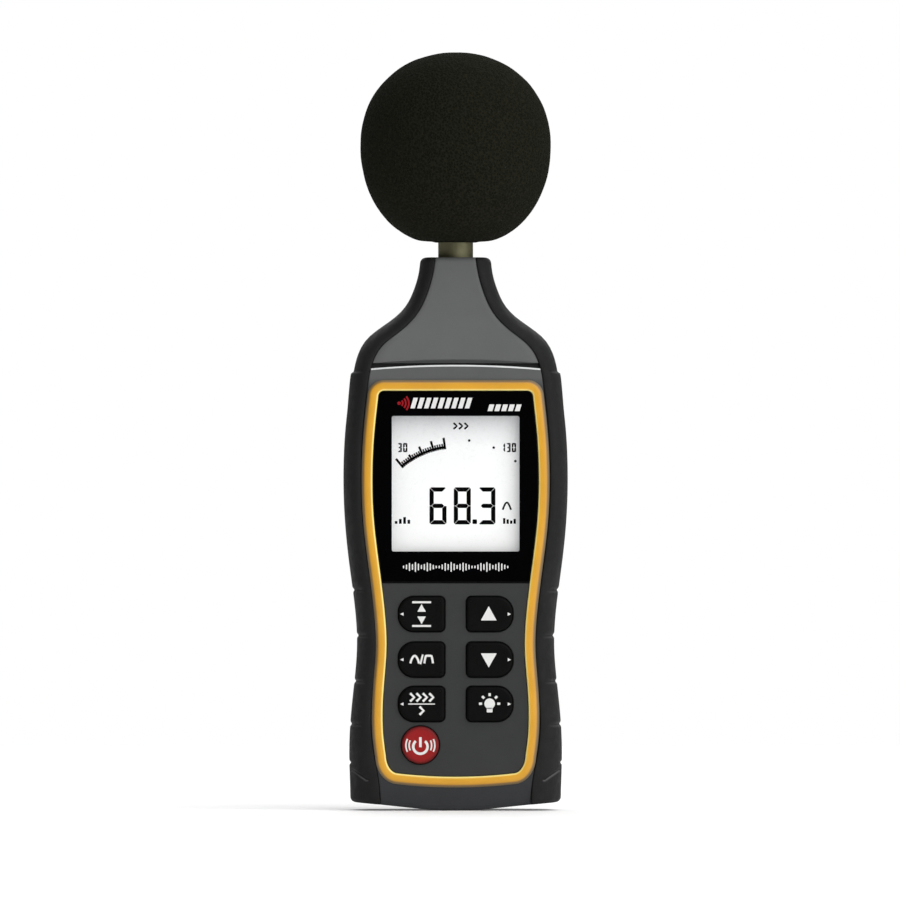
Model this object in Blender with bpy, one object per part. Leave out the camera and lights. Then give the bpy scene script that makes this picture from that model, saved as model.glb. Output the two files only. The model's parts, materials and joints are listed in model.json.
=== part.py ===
"""Handheld sound level meter with a foam windscreen, built as an assembly of separate pieces.

Frame: +Z up towards the microphone, the display faces -Y, +X is to the right of a person who
reads the display. The origin is the centre of the flat land under the case. Sizes are in
millimetres and become metres where the objects are made.
"""

import math

import bmesh
import bpy
from mathutils import Vector

MM = 0.001
GAP = 0.3  # clearance kept between neighbouring pieces
SMOOTH_ANGLE = math.radians(35)

# ---- driving dimensions -------------------------------------------------------------------

CASE_TOP = 182.2
CASE_START = -1.0  # the case is lofted from here and trimmed to the arched underside
STEP_Z = 147.2  # the raised lower face ends here and the neck cover begins
WALL = 2.0
GRIP = 1.6  # thickness of the rubber skin
COVER = 1.3  # thickness of the neck cover
FACE_WALL = 3.3  # front or back face to the inside of the case

FACE_Y = -15.0  # front of the lower body
BACK_Y = 17.0

# Each outline below is a list of (height, value) points that a smooth curve runs through.
HALF_WIDTH = (
    (-1, 33.7), (3, 34.6), (9, 34.9), (17, 35.0), (30, 34.6), (43, 33.2), (54, 32.3),
    (66, 33.0), (82, 35.1), (98, 36.6), (112, 37.0), (128, 36.2), (141, 34.8), (148, 33.2),
    (154, 30.7), (159, 24.7), (165, 17.4), (171, 14.0), (177, 12.2), (182.2, 11.5),
)
GRIP_EDGE = (
    (0, 24.9), (7, 25.3), (16, 26.6), (23, 27.6), (30, 27.9), (42, 27.1), (54, 26.35),
    (66, 27.0), (82, 29.1), (96, 30.7), (110, 31.2), (124, 30.7), (136, 29.5), (146, 28.5),
    (149, 27.2),
    (153, 24.8), (157, 19.4), (161, 14.8), (165, 11.8), (169, 9.9), (173, 8.5),
    (178, 7.3), (182.2, 6.7),
)
FRONT_DEPTH = (
    (-1, 12.6), (0.4, 13.3), (1.6, 14.3), (3.6, 15.0), (138, 15.0), (148, 13.9),
    (165, 12.2), (182.2, 10.4),
)
BACK_DEPTH = (
    (-1, 14.8), (0.4, 15.4), (1.6, 16.3), (3.6, 17.0), (120, 17.0), (140, 16.2),
    (160, 13.0), (182.2, 9.6),
)
STATIONS = (
    CASE_START, 1.6, 3.6, 14, 28, 42, 54, 66, 80, 96, 112, 128, 140, STEP_Z, STEP_Z + GAP,
    151, 154, 157, 160, 163, 167, 172, 177, CASE_TOP,
)
CAVITY_BOTTOM = 5.0
CAVITY_TOP = 180.0
CORNER_STEPS = 5
CORNER_POWER = 2.3

# Underside: a flat land in the middle that rises towards both sides.
LAND_HALF = 7.0
ARCH_RISE = 2.6
ARCH_REACH = 34.0

# Raised trim ring round the display and the keypad.
RING_WIDTH = 3.1
RING_FRONT_Y = -15.8
POCKET_Y = -13.5
PLATE_BACK_Y = -13.8
RING_SIDE = (
    (17, 24.4), (30, 25.6), (42, 25.1), (54, 24.3), (66, 24.95), (82, 26.9), (96, 28.5),
    (110, 28.95), (124, 28.35), (136, 27.1),
)
RING_TOP_Z = 139.8
RING_BOTTOM_Z = 9.6
RING_BOTTOM_ARCH = 1.2
LENS_BOTTOM_Z = 75.1

# Display.
WINDOW_HALF = 21.0
WINDOW_LOW = 85.3
WINDOW_HIGH = 129.9

# Keys: two columns of three D-shaped keys, and a round power key.
KEY_X = 11.2
KEY_ROWS = (64.7, 49.7, 35.1)
KEY_WIDTH = 15.2
KEY_HEIGHT = 11.5
KEY_OUTER_RADIUS = 5.2
KEY_INNER_RADIUS = 1.6
POWER_X = -11.6
POWER_Z = 21.6
POWER_RADIUS = 6.2
KEY_TOP_Y = -16.2
FLANGE_FRONT_Y = -11.4
FLANGE_BACK_Y = -10.4
PLUNGER_END_Y = -9.6
KEY_FLANGE = 0.8
POWER_FLANGE = 0.5

# Main board, which lies behind the display and the keypad.
BOARD_FRONT_Y = -6.5
BOARD_BACK_Y = -4.9
BOARD_POSTS = ((-23.3, 22.0), (23.3, 22.0), (-13.0, 141.5), (13.0, 141.5))
CASE_SCREWS = ((-22.5, 9.5), (22.5, 9.5), (-21.0, 150.0), (21.0, 150.0))

# Microphone and windscreen, both on the Z axis.
TUBE_RADIUS = 5.75
TUBE_BORE = 4.9
TUBE_LOW = 158.0
TUBE_HIGH = 222.0
BALL_RADIUS = 31.4
BALL_CENTRE_Z = 219.4
BALL_ABOVE = 30.6  # height of the upper half
BALL_BELOW = 34.2  # height the lower half would have without its flat underside
BALL_LOW = 187.1
BALL_POWER = 2.1
SOCKET_RADIUS = 6.1

# Batteries, three side by side in a tub that opens to the back.
CELL_RADIUS = 5.25
CELL_LENGTH = 44.5
CELL_PITCH = 11.2
CELL_Y = 9.05
BAY_HALF = 17.4
BAY_LOW = 17.0
BAY_HIGH = 71.0
BAY_FLOOR_Y = 3.5
LID_HALF = 20.2
LID_LOW = 13.3
LID_HIGH = 74.7
LID_FRONT_Y = 14.9

TRIPOD_Z = 95.0
TRIPOD_BORE = 3.2
TRIPOD_RADIUS = 4.75


# ---- helpers ------------------------------------------------------------------------------

def clear_scene():
    for obj in list(bpy.data.objects):
        bpy.data.objects.remove(obj, do_unlink=True)


def smooth_curve(points):
    """A smooth function through (height, value) points that never overshoots them."""
    spans = list(zip(points, points[1:]))
    slopes = [(b[1] - a[1]) / (b[0] - a[0]) for a, b in spans]
    tangents = [slopes[0]]
    for before, after in zip(slopes, slopes[1:]):
        same_way = before * after > 0
        tangents.append(2 * before * after / (before + after) if same_way else 0.0)
    tangents.append(slopes[-1])

    def value(height):
        if height <= points[0][0]:
            return points[0][1]
        for index, (a, b) in enumerate(spans):
            if height <= b[0]:
                length = b[0] - a[0]
                t = (height - a[0]) / length
                return (
                    a[1] * (2 * t**3 - 3 * t**2 + 1)
                    + b[1] * (3 * t**2 - 2 * t**3)
                    + tangents[index] * length * (t**3 - 2 * t**2 + t)
                    + tangents[index + 1] * length * (t**3 - t**2)
                )
        return points[-1][1]

    return value


half_width = smooth_curve(HALF_WIDTH)
grip_edge = smooth_curve(GRIP_EDGE)
front_depth = smooth_curve(FRONT_DEPTH)
back_depth = smooth_curve(BACK_DEPTH)
ring_side = smooth_curve(RING_SIDE)


def linear(value):
    """One 8-bit display value as a linear shader value."""
    value /= 255
    return value / 12.92 if value <= 0.04045 else ((value + 0.055) / 1.055) ** 2.4


def plastic(red, green, blue, roughness=0.5, metallic=0.0):
    return (linear(red), linear(green), linear(blue), 1.0), roughness, metallic


CASE_GREY = plastic(62, 64, 68, 0.5)
COVER_GREY = plastic(105, 107, 108, 0.45)
RUBBER = plastic(34, 34, 36, 0.7)
AMBER = plastic(226, 160, 48, 0.4)
GLOSS_BLACK = plastic(12, 12, 13, 0.12)
KEY_BLACK = plastic(22, 22, 23, 0.55)
KEY_RED = plastic(178, 42, 44, 0.5)
FOAM = plastic(26, 26, 20, 0.95)
BOARD_GREEN = plastic(28, 92, 52, 0.45)
LCD_GREY = plastic(214, 220, 214, 0.15)
WHITE = plastic(232, 232, 226, 0.5)
MIC_METAL = plastic(132, 128, 108, 0.35, 1.0)
STEEL = plastic(176, 178, 180, 0.3, 1.0)
BRASS = plastic(196, 158, 82, 0.3, 1.0)
CELL_BLUE = plastic(44, 84, 140, 0.35)


def make_object(name, vertices, faces, look, origin=(0, 0, 0)):
    """One closed mesh from vertices in millimetres, with its origin where it is held or turns."""
    place = Vector(origin)
    mesh = bpy.data.meshes.new(name)
    mesh.from_pydata([(Vector(vertex) - place) * MM for vertex in vertices], [], faces)
    shape = bmesh.new()
    shape.from_mesh(mesh)
    bmesh.ops.recalc_face_normals(shape, faces=shape.faces)
    shape.to_mesh(mesh)
    shape.free()
    mesh.shade_smooth()
    mesh.set_sharp_from_angle(angle=SMOOTH_ANGLE)
    obj = bpy.data.objects.new(name, mesh)
    obj.location = place * MM
    bpy.context.collection.objects.link(obj)
    if look is None:
        obj.hide_render = True
        obj.display_type = "WIRE"
    else:
        colour, roughness, metallic = look
        surface = bpy.data.materials.new(name)
        surface.use_nodes = True
        shader = surface.node_tree.nodes["Principled BSDF"]
        shader.inputs["Base Color"].default_value = colour
        shader.inputs["Roughness"].default_value = roughness
        shader.inputs["Metallic"].default_value = metallic
        mesh.materials.append(surface)
    return obj


def bridge(name, rings, look, origin=(0, 0, 0), ends=True):
    """Skin a row of equal point rings; the ends are capped, or else joined to each other."""
    count = len(rings[0])
    vertices = [point for ring in rings for point in ring]
    spans = len(rings) - 1 if ends else len(rings)
    faces = []
    for span in range(spans):
        low = span * count
        high = ((span + 1) % len(rings)) * count
        for index in range(count):
            following = (index + 1) % count
            faces.append((low + index, low + following, high + following, high + index))
    if ends:
        faces.append(tuple(range(count)))
        faces.append(tuple(range(len(vertices) - count, len(vertices))))
    return make_object(name, vertices, faces, look, origin)


def plate(name, outline, front, back, look=None, origin=(0, 0, 0)):
    """An (x, z) outline given thickness along Y."""
    rings = [[(x, y, z) for x, z in outline] for y in (front, back)]
    return bridge(name, rings, look, origin)


def block(name, low, high, look=None, origin=None):
    centre = tuple((a + b) / 2 for a, b in zip(low, high))
    outline = [(low[0], low[2]), (high[0], low[2]), (high[0], high[2]), (low[0], high[2])]
    return plate(name, outline, low[1], high[1], look, origin or centre)


def turned(name, profile, look=None, centre=(0, 0, 0), axis="Z", sides=20, hollow=False):
    """Turn (radius, distance along the axis) points; a hollow profile is a closed loop."""
    rings = []
    for radius, along in profile:
        ring = []
        for side in range(sides):
            angle = 2 * math.pi * side / sides
            across = (radius * math.cos(angle), radius * math.sin(angle))
            if axis == "Z":
                ring.append((centre[0] + across[0], centre[1] + across[1], centre[2] + along))
            else:
                ring.append((centre[0] + across[0], centre[1] + along, centre[2] + across[1]))
        rings.append(ring)
    return bridge(name, rings, look, centre, ends=not hollow)


def cylinder(name, radius, low, high, look=None, centre=(0, 0, 0), axis="Y", sides=20):
    return turned(name, [(radius, low), (radius, high)], look, centre, axis, sides)


def cut(target, *cutters):
    for cutter in cutters:
        boolean = target.modifiers.new("cut_" + cutter.name, "BOOLEAN")
        boolean.operation = "DIFFERENCE"
        boolean.solver = "EXACT"
        boolean.object = cutter


def arc(centre, radius, start, end, steps):
    """Points on an arc in the XZ plane, with angles in degrees from +X."""
    points = []
    for step in range(steps + 1):
        angle = math.radians(start + (end - start) * step / steps)
        points.append((centre[0] + radius * math.cos(angle), centre[1] + radius * math.sin(angle)))
    return points


def grown(outline, distance):
    """The outline, given anticlockwise, moved outwards by a distance."""
    moved = []
    for index, point in enumerate(outline):
        before = Vector(outline[index - 1])
        after = Vector(outline[(index + 1) % len(outline)])
        here = Vector(point)
        first = (here - before).normalized()
        second = (after - here).normalized()
        along = (first + second).normalized()
        normal = Vector((along.y, -along.x))
        stretch = distance / max(0.4, normal.dot(Vector((first.y, -first.x))))
        moved.append(tuple(here + normal * stretch))
    return moved


def clipped(outline, level, keep_above):
    """The part of an outline above or below a level."""
    kept = []
    for index, point in enumerate(outline):
        before = outline[index - 1]
        inside = (point[1] >= level) == keep_above
        was_inside = (before[1] >= level) == keep_above
        if inside != was_inside:
            t = (level - before[1]) / (point[1] - before[1])
            kept.append((before[0] + t * (point[0] - before[0]), level))
        if inside:
            kept.append(point)
    return kept


# ---- case ---------------------------------------------------------------------------------

def rear_edge(height):
    """Half-width of the flat back between the rear grips."""
    width = half_width(height)
    return width - max(4.8, 0.23 * width)


def flat_edge(height, side):
    return grip_edge(height) if side < 0 else rear_edge(height)


def depth_at(height, side):
    return front_depth(height) if side < 0 else back_depth(height)


def corner(edge, width, depth):
    """From the edge of the flat face round to the widest line, as (x, depth) points."""
    points = []
    for step in range(CORNER_STEPS + 1):
        angle = math.pi / 2 * step / CORNER_STEPS
        x = edge + (width - edge) * math.sin(angle) ** (2 / CORNER_POWER)
        y = depth * math.cos(angle) ** (2 / CORNER_POWER)
        points.append((x, max(y, GAP / 2)))
    return points


def mirrored_ring(right, height, side):
    """A closed ring from the points of its right half."""
    left = [(-x, y) for x, y in reversed(right)]
    return [(x, side * y, height) for x, y in left + right]


def case_solid(name, side, look):
    rings = []
    for height in STATIONS:
        edge = flat_edge(height, side) - GAP
        depth = depth_at(height, side)
        under_cover = side < 0 and height > STEP_Z
        face = depth - (COVER + GAP if under_cover else 0)
        skin = GRIP + GAP
        right = [(edge, face)] + corner(edge, half_width(height) - skin, depth - skin)
        rings.append(mirrored_ring(right, height, side))
    return bridge(name, rings, look)


def case_cavity(name, side):
    inside = [h for h in STATIONS if CAVITY_BOTTOM < h < CAVITY_TOP]
    rings = []
    for height in [CAVITY_BOTTOM] + inside + [CAVITY_TOP]:
        width = half_width(height) - GRIP - GAP - WALL
        edge = min(flat_edge(height, side) - GAP, width - 1)
        right = corner(edge, width, depth_at(height, side) - FACE_WALL) + [(width, -1.0)]
        rings.append(mirrored_ring(right, height, side))
    return bridge(name, rings, None)


def grip(name, side, hand):
    """Rubber skin over one side of one half of the case."""
    rings = []
    for height in STATIONS:
        edge = flat_edge(height, side)
        depth = depth_at(height, side)
        width = half_width(height)
        outer = corner(edge, width, depth)
        inner = corner(edge, width - GRIP, depth - GRIP)
        ring = outer + list(reversed(inner))
        rings.append([(hand * x, side * y, height) for x, y in ring])
    return bridge(name, rings, RUBBER)


def underside():
    """Everything below the land and its rising ends, to trim the case and the grips."""
    top = []
    for x in (-40, -34, -28, -22, -16, -11, -LAND_HALF):
        reach = min(1.0, (-x - LAND_HALF) / (ARCH_REACH - LAND_HALF))
        top.append((x, ARCH_RISE * (1 - (1 - reach) ** 1.25)))
    outline = top + [(-x, z) for x, z in reversed(top)]
    return plate("underside", [(40, -5), (-40, -5)] + outline, -25, 25)


def ring_outline():
    """Centre line of the trim ring, anticlockwise as seen from the front."""
    side = []
    for height in (17, 23, 30, 37, 45, 54, 62, 70, 80, 90, 100, 110, 120, 129, 136):
        side.append((ring_side(height), height))
    radius = 3.5
    bend = [(x, z) for x, z in arc((side[-1][0] - radius, RING_TOP_Z - radius), radius, 0, 90, 4)]
    lower = [(24.0, 14.4), (22.5, 12.2)]
    bottom = []
    for x in (20, 10):
        bottom.append((x, RING_BOTTOM_Z + RING_BOTTOM_ARCH * (x / 20) ** 2))
    right = list(reversed(bottom)) + list(reversed(lower)) + side[:-1] + bend
    left = [(-x, z) for x, z in reversed(right)]
    return [(0, RING_BOTTOM_Z)] + right + left


def make_case():
    """Both housings and the four grips; the front housing is returned for its later openings."""
    front = case_solid("front_housing", -1, CASE_GREY)
    rear = case_solid("rear_housing", 1, CASE_GREY)
    front_cavity = case_cavity("front_cavity", -1)
    rear_cavity = case_cavity("rear_cavity", 1)
    trim = underside()
    grips = []
    for half, side in (("front", -1), ("rear", 1)):
        for hand_name, hand in (("left", -1), ("right", 1)):
            grips.append(grip(f"{half}_{hand_name}_grip", side, hand))
    for piece in [front, rear] + grips:
        cut(piece, trim)

    for index, (x, z) in enumerate(CASE_SCREWS):
        column = cylinder(f"column_{index}", 3.3, -20, 22, centre=(x, 0, z), sides=14)
        cut(front_cavity, column)
        cut(rear_cavity, column)
    for index, (x, z) in enumerate(BOARD_POSTS):
        post = cylinder(f"post_{index}", 2.1, -14, -6.8, centre=(x, 0, z), sides=12)
        cut(front_cavity, post)
    tub = block("tub", (-BAY_HALF - 1.3, BAY_FLOOR_Y - 1, BAY_LOW - 1.5),
                (BAY_HALF + 1.3, 20, BAY_HIGH + 1.5))
    boss = cylinder("boss", 7.5, 5.7, 20, centre=(0, 0, TRIPOD_Z), sides=16)
    cut(rear_cavity, tub, boss)

    cut(front, front_cavity)
    cut(rear, rear_cavity)
    for index, (x, z) in enumerate(CASE_SCREWS):
        shank = cylinder(f"shank_hole_{index}", 1.7, -8.6, 9, centre=(x, 0, z), sides=12)
        head = cylinder(f"head_hole_{index}", 2.9, 8, 22, centre=(x, 0, z), sides=14)
        cut(front, shank)
        cut(rear, shank, head)
    for index, (x, z) in enumerate(BOARD_POSTS):
        hole = cylinder(f"post_hole_{index}", 1.2, -10, -3, centre=(x, 0, z), sides=10)
        cut(front, hole)
    neck_hole = cylinder("neck_hole", SOCKET_RADIUS, 170, 190, axis="Z", sides=20)
    cut(front, neck_hole)
    cut(rear, neck_hole)

    bay = block("bay", (-BAY_HALF, BAY_FLOOR_Y, BAY_LOW), (BAY_HALF, 22, BAY_HIGH))
    lid_seat = block("lid_seat", (-LID_HALF - GAP, LID_FRONT_Y - GAP, LID_LOW - GAP),
                     (LID_HALF + GAP, 22, LID_HIGH + GAP))
    cut(rear, bay, lid_seat)
    for index, x in enumerate((-12, 12)):
        slot = block(f"tab_slot_{index}", (x - 2.8, 12.5, 11), (x + 2.8, 16.2, 15.2))
        cut(rear, slot)
    tripod_hole = cylinder("tripod_hole", TRIPOD_RADIUS + GAP, 7.2, 22, centre=(0, 0, TRIPOD_Z), sides=16)
    cut(rear, tripod_hole)
    return front


def make_neck_cover():
    rings = []
    for height in [STEP_Z + 2 * GAP] + [h for h in STATIONS if h > STEP_Z + 1]:
        edge = grip_edge(height) - GAP
        depth = front_depth(height)
        corners = [(-edge, depth), (edge, depth), (edge, depth - COVER), (-edge, depth - COVER)]
        rings.append([(x, -y, height) for x, y in corners])
    bridge("neck_cover", rings, COVER_GREY)


def make_face(front):
    """Trim ring, display lens and keypad panel in their shared pocket."""
    centre_line = ring_outline()
    half = RING_WIDTH / 2
    outer = grown(centre_line, half)
    inner = grown(centre_line, -half)
    cut(front, plate("face_pocket", grown(centre_line, half + GAP), POCKET_Y, -20))
    loops = []
    for outline, y in ((inner, PLATE_BACK_Y), (outer, PLATE_BACK_Y),
                       (outer, RING_FRONT_Y), (inner, RING_FRONT_Y)):
        loops.append([(x, y, z) for x, z in outline])
    bridge("trim_ring", loops, AMBER, ends=False)

    filling = grown(centre_line, -half - GAP)
    lens = clipped(filling, LENS_BOTTOM_Z, True)
    plate("display_lens", lens, FACE_Y, PLATE_BACK_Y, GLOSS_BLACK)
    panel_outline = clipped(filling, LENS_BOTTOM_Z - GAP, False)
    return plate("keypad_panel", panel_outline, FACE_Y, PLATE_BACK_Y, CASE_GREY)


# ---- keys ---------------------------------------------------------------------------------

def key_outline(x, z, margin):
    """A D-shaped key: the side away from the middle is strongly rounded."""
    hand = 1 if x > 0 else -1
    across = KEY_WIDTH / 2
    up = KEY_HEIGHT / 2
    big = KEY_OUTER_RADIUS
    small = KEY_INNER_RADIUS
    points = arc((across - big, -up + big), big, -90, 0, 4)
    points += arc((across - big, up - big), big, 0, 90, 4)
    points += arc((-across + small, up - small), small, 90, 180, 2)
    points += arc((-across + small, -up + small), small, 180, 270, 2)
    points = grown(points, margin) if margin else points
    if hand < 0:
        points = [(-a, b) for a, b in reversed(points)]
    return [(x + a, z + b) for a, b in points]


def power_outline(x, z, margin):
    return arc((x, z), POWER_RADIUS + margin, 0, 345, 23)


def make_key(name, outline, x, z, flange, look, neighbours):
    """Cap, retaining flange and plunger of one key, and the holes that it needs."""
    panel, front, mat = neighbours
    cap = outline(x, z, 0)
    skirt = outline(x, z, flange)
    nub = [(x + 0.35 * (a - x), z + 0.35 * (b - z)) for a, b in cap]
    rings = [[(a, y, b) for a, b in loop] for loop, y in (
        (cap, KEY_TOP_Y), (cap, FLANGE_FRONT_Y), (skirt, FLANGE_FRONT_Y),
        (skirt, FLANGE_BACK_Y), (nub, FLANGE_BACK_Y), (nub, PLUNGER_END_Y))]
    bridge(name, rings, look, origin=(x, FLANGE_FRONT_Y, z))
    opening = plate(name + "_opening", outline(x, z, GAP), -20, -11)
    cut(panel, opening)
    cut(front, opening)
    cut(mat, plate(name + "_mat_opening", outline(x, z, flange + GAP), -20, -5))


def make_switch(name, x, z):
    base = [(x - 3, z - 3), (x + 3, z - 3), (x + 3, z + 3), (x - 3, z + 3)]
    stem = [(x + 0.45 * (a - x), z + 0.45 * (b - z)) for a, b in base]
    rings = [[(a, y, b) for a, b in loop] for loop, y in (
        (base, -6.8), (base, -8.0), (stem, -8.0), (stem, -8.5))]
    bridge(name, rings, KEY_BLACK, origin=(x, -6.8, z))


def make_keypad(front, panel):
    mat_outline = [(-20.5, 14.0), (20.5, 14.0), (20.5, 73.5), (-20.5, 73.5)]
    mat = plate("keypad_mat", mat_outline, -11.4, -10.6, KEY_BLACK)
    neighbours = (panel, front, mat)
    left = ("key_max_min", "key_weighting", "key_response")
    right = ("key_up", "key_down", "key_light")
    for names, x in ((left, -KEY_X), (right, KEY_X)):
        for name, z in zip(names, KEY_ROWS):
            make_key(name, key_outline, x, z, KEY_FLANGE, KEY_BLACK, neighbours)
            make_switch(name.replace("key", "switch"), x, z)
    make_key("key_power", power_outline, POWER_X, POWER_Z, POWER_FLANGE, KEY_RED, neighbours)
    make_switch("switch_power", POWER_X, POWER_Z)


# ---- display and electronics --------------------------------------------------------------

def make_display(front):
    opening = block("window_opening", (-WINDOW_HALF - 0.7, -20, WINDOW_LOW - 0.8),
                    (WINDOW_HALF + 0.7, -11, WINDOW_HIGH + 0.7))
    cut(front, opening)
    block("lcd_glass", (-23.9, -11.4, 81.0), (23.9, -9.3, 134.3), LCD_GREY)
    block("backlight_panel", (-23.9, -9.0, 84.6), (23.9, -6.9, 134.3), WHITE)
    block("lcd_connector_strip", (-21, -9.0, 81.0), (21, -6.9, 84.3), KEY_BLACK)
    frame = block("lcd_frame", (-25.5, -11.4, 79.5), (25.5, -6.8, 135.8), KEY_BLACK)
    cut(frame, block("lcd_frame_opening", (-24.2, -15, 80.7), (24.2, -5, 134.6)))


def make_board():
    half = [(26, 15), (26, 139), (17, 146), (10, 156)]
    outline = half + [(-x, z) for x, z in reversed(half)]
    board = plate("main_board", outline, BOARD_FRONT_Y, BOARD_BACK_Y, BOARD_GREEN)
    for index, (x, z) in enumerate(BOARD_POSTS):
        cut(board, cylinder(f"board_hole_{index}", 1.2, -9, 0, centre=(x, 0, z), sides=10))
        profile = [(0.9, -9.4), (0.9, -4.6), (1.9, -4.6), (1.9, -3.5)]
        turned(f"board_screw_{index + 1}", profile, STEEL, (x, 0, z), "Y", 10)
    block("processor_chip", (-6, BOARD_BACK_Y + GAP, 104), (6, -3.2, 116), GLOSS_BLACK)
    block("microphone_socket", (-5, BOARD_BACK_Y + GAP, 148), (5, 1.4, 154), WHITE)


# ---- microphone and windscreen ------------------------------------------------------------

def ball_profile(steps=12):
    """The outside of the foam, from the rim of its flat underside to its top."""
    low = BALL_LOW - BALL_CENTRE_Z
    points = []
    for step in range(steps + 1):
        angle = math.radians(-68 + 156 * step / steps)
        across = abs(math.cos(angle)) ** (2 / BALL_POWER)
        rise = abs(math.sin(angle)) ** (2 / BALL_POWER)
        height = -BALL_BELOW * rise if angle < 0 else BALL_ABOVE * rise
        points.append((BALL_RADIUS * across, max(low + 0.6, height)))
    return points


def make_microphone():
    tube = [(TUBE_RADIUS, TUBE_LOW), (TUBE_RADIUS, TUBE_HIGH), (TUBE_BORE, TUBE_HIGH),
            (TUBE_BORE, TUBE_LOW)]
    turned("microphone_tube", tube, MIC_METAL, sides=20, hollow=True)
    cylinder("microphone_capsule", 4.6, 212, 221.6, STEEL, axis="Z", sides=16)
    grid = [(TUBE_RADIUS, 222.3), (TUBE_RADIUS, 226.2), (4.8, 227.0)]
    turned("microphone_grid", grid, STEEL, sides=20)
    seal = [(SOCKET_RADIUS, 171.5), (7.2, 171.5), (7.2, 174.5), (SOCKET_RADIUS, 174.5)]
    turned("microphone_seal", seal, RUBBER, sides=16, hollow=True)
    clamp = block("microphone_clamp", (-9, -8.4, 159), (9, 8.4, 165), KEY_BLACK)
    cut(clamp, cylinder("clamp_hole", SOCKET_RADIUS, 150, 170, axis="Z", sides=20))
    block("preamp_board", (-4.2, -0.8, 168), (4.2, 0.8, 210), BOARD_GREEN)

    low = BALL_LOW - BALL_CENTRE_Z
    outside = ball_profile()
    outside[0] = (10.4, low)
    bore = [(SOCKET_RADIUS, 227.3 - BALL_CENTRE_Z), (SOCKET_RADIUS, low)]
    profile = [(0.6, BALL_ABOVE)] + list(reversed(outside)) + list(reversed(bore))
    turned("windscreen", profile, FOAM, (0, 0, BALL_CENTRE_Z), sides=24)


# ---- batteries, lid and fasteners ---------------------------------------------------------

def coil(name, x, z_low, z_high, wide_end_low, look):
    """A conical contact spring as a square-section wire along a helix."""
    turns = 4
    per_turn = 9
    wire = 0.3
    count = turns * per_turn
    rings = []
    for step in range(count + 1):
        t = step / count
        taper = t if wide_end_low else 1 - t
        radius = 3.6 - 1.4 * taper
        angle = 2 * math.pi * turns * t
        z = z_low + wire + (z_high - z_low - 2 * wire) * t
        ring = []
        for across, up in ((wire, wire), (-wire, wire), (-wire, -wire), (wire, -wire)):
            reach = radius + across
            ring.append((x + reach * math.cos(angle), CELL_Y + reach * math.sin(angle), z + up))
        rings.append(ring)
    bridge(name, rings, look, origin=(x, CELL_Y, (z_low + z_high) / 2))


def make_batteries():
    """Three cells in series: the outer two stand one way up and the middle one the other."""
    contact = 0.4
    floor = BAY_LOW + GAP
    roof = BAY_HIGH - GAP
    for index, x in enumerate((-CELL_PITCH, 0, CELL_PITCH)):
        upright = index != 1
        tip = roof - contact - GAP if upright else floor + contact + GAP
        way = -1 if upright else 1
        profile = [(1.9, 0), (1.9, way * 0.8), (CELL_RADIUS, way * 0.8),
                   (CELL_RADIUS, way * CELL_LENGTH)]
        turned(f"battery_{index + 1}", profile, CELL_BLUE, (x, CELL_Y, tip), sides=16)
        far = tip + way * (CELL_LENGTH + GAP)
        near = floor + contact + GAP if upright else roof - contact - GAP
        coil(f"battery_spring_{index + 1}", x, min(far, near), max(far, near), upright, STEEL)
    reach = 4.6
    strips = (
        ("battery_contact_positive", -CELL_PITCH, -CELL_PITCH, roof - contact),
        ("battery_link_upper", 0, CELL_PITCH, roof - contact),
        ("battery_link_lower", -CELL_PITCH, 0, floor),
        ("battery_contact_negative", CELL_PITCH, CELL_PITCH, floor),
    )
    for name, first, last, z in strips:
        block(name, (first - reach, BAY_FLOOR_Y + GAP, z), (last + reach, 13.6, z + contact), STEEL)


def make_lid():
    """Battery cover with two tabs at its foot, on which it swings out."""
    outline = [(-LID_HALF, LID_HIGH), (-LID_HALF, LID_LOW)]
    for x in (-12, 12):
        outline += [(x - 2.4, LID_LOW), (x - 2.4, LID_LOW - 1.7)]
        outline += [(x + 2.4, LID_LOW - 1.7), (x + 2.4, LID_LOW)]
    outline += [(LID_HALF, LID_LOW), (LID_HALF, LID_HIGH)]
    hinge = (0, BACK_Y, LID_LOW)
    lid = plate("battery_cover", outline, LID_FRONT_Y, BACK_Y, CASE_GREY, hinge)
    relief = block("tab_relief", (-LID_HALF, 15.9, 5), (LID_HALF, 22, LID_LOW))
    cut(lid, relief)


def make_fasteners():
    for index, (x, z) in enumerate(CASE_SCREWS):
        profile = [(1.4, -8.2), (1.4, 8.3), (2.6, 8.3), (2.6, 10.3)]
        turned(f"case_screw_{index + 1}", profile, STEEL, (x, 0, z), "Y", 12)
    insert = [(TRIPOD_BORE, 7.5), (TRIPOD_RADIUS, 7.5), (TRIPOD_RADIUS, 16.7), (TRIPOD_BORE, 16.7)]
    turned("tripod_insert", insert, BRASS, (0, 0, TRIPOD_Z), "Y", 16, hollow=True)


def main():
    clear_scene()
    front = make_case()
    make_neck_cover()
    panel = make_face(front)
    make_keypad(front, panel)
    make_display(front)
    make_board()
    make_microphone()
    make_batteries()
    make_lid()
    make_fasteners()


main()
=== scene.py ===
"""Looks of the handheld sound level meter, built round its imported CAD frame.

Shapes are worked out in millimetres in the CAD's frame and become metres in make_mesh. The
display faces -Y and the microphone points up +Z.
"""

import json
import math

import bmesh
import bpy
import numpy as np
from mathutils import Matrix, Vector, noise
from mathutils.geometry import tessellate_polygon


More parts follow.
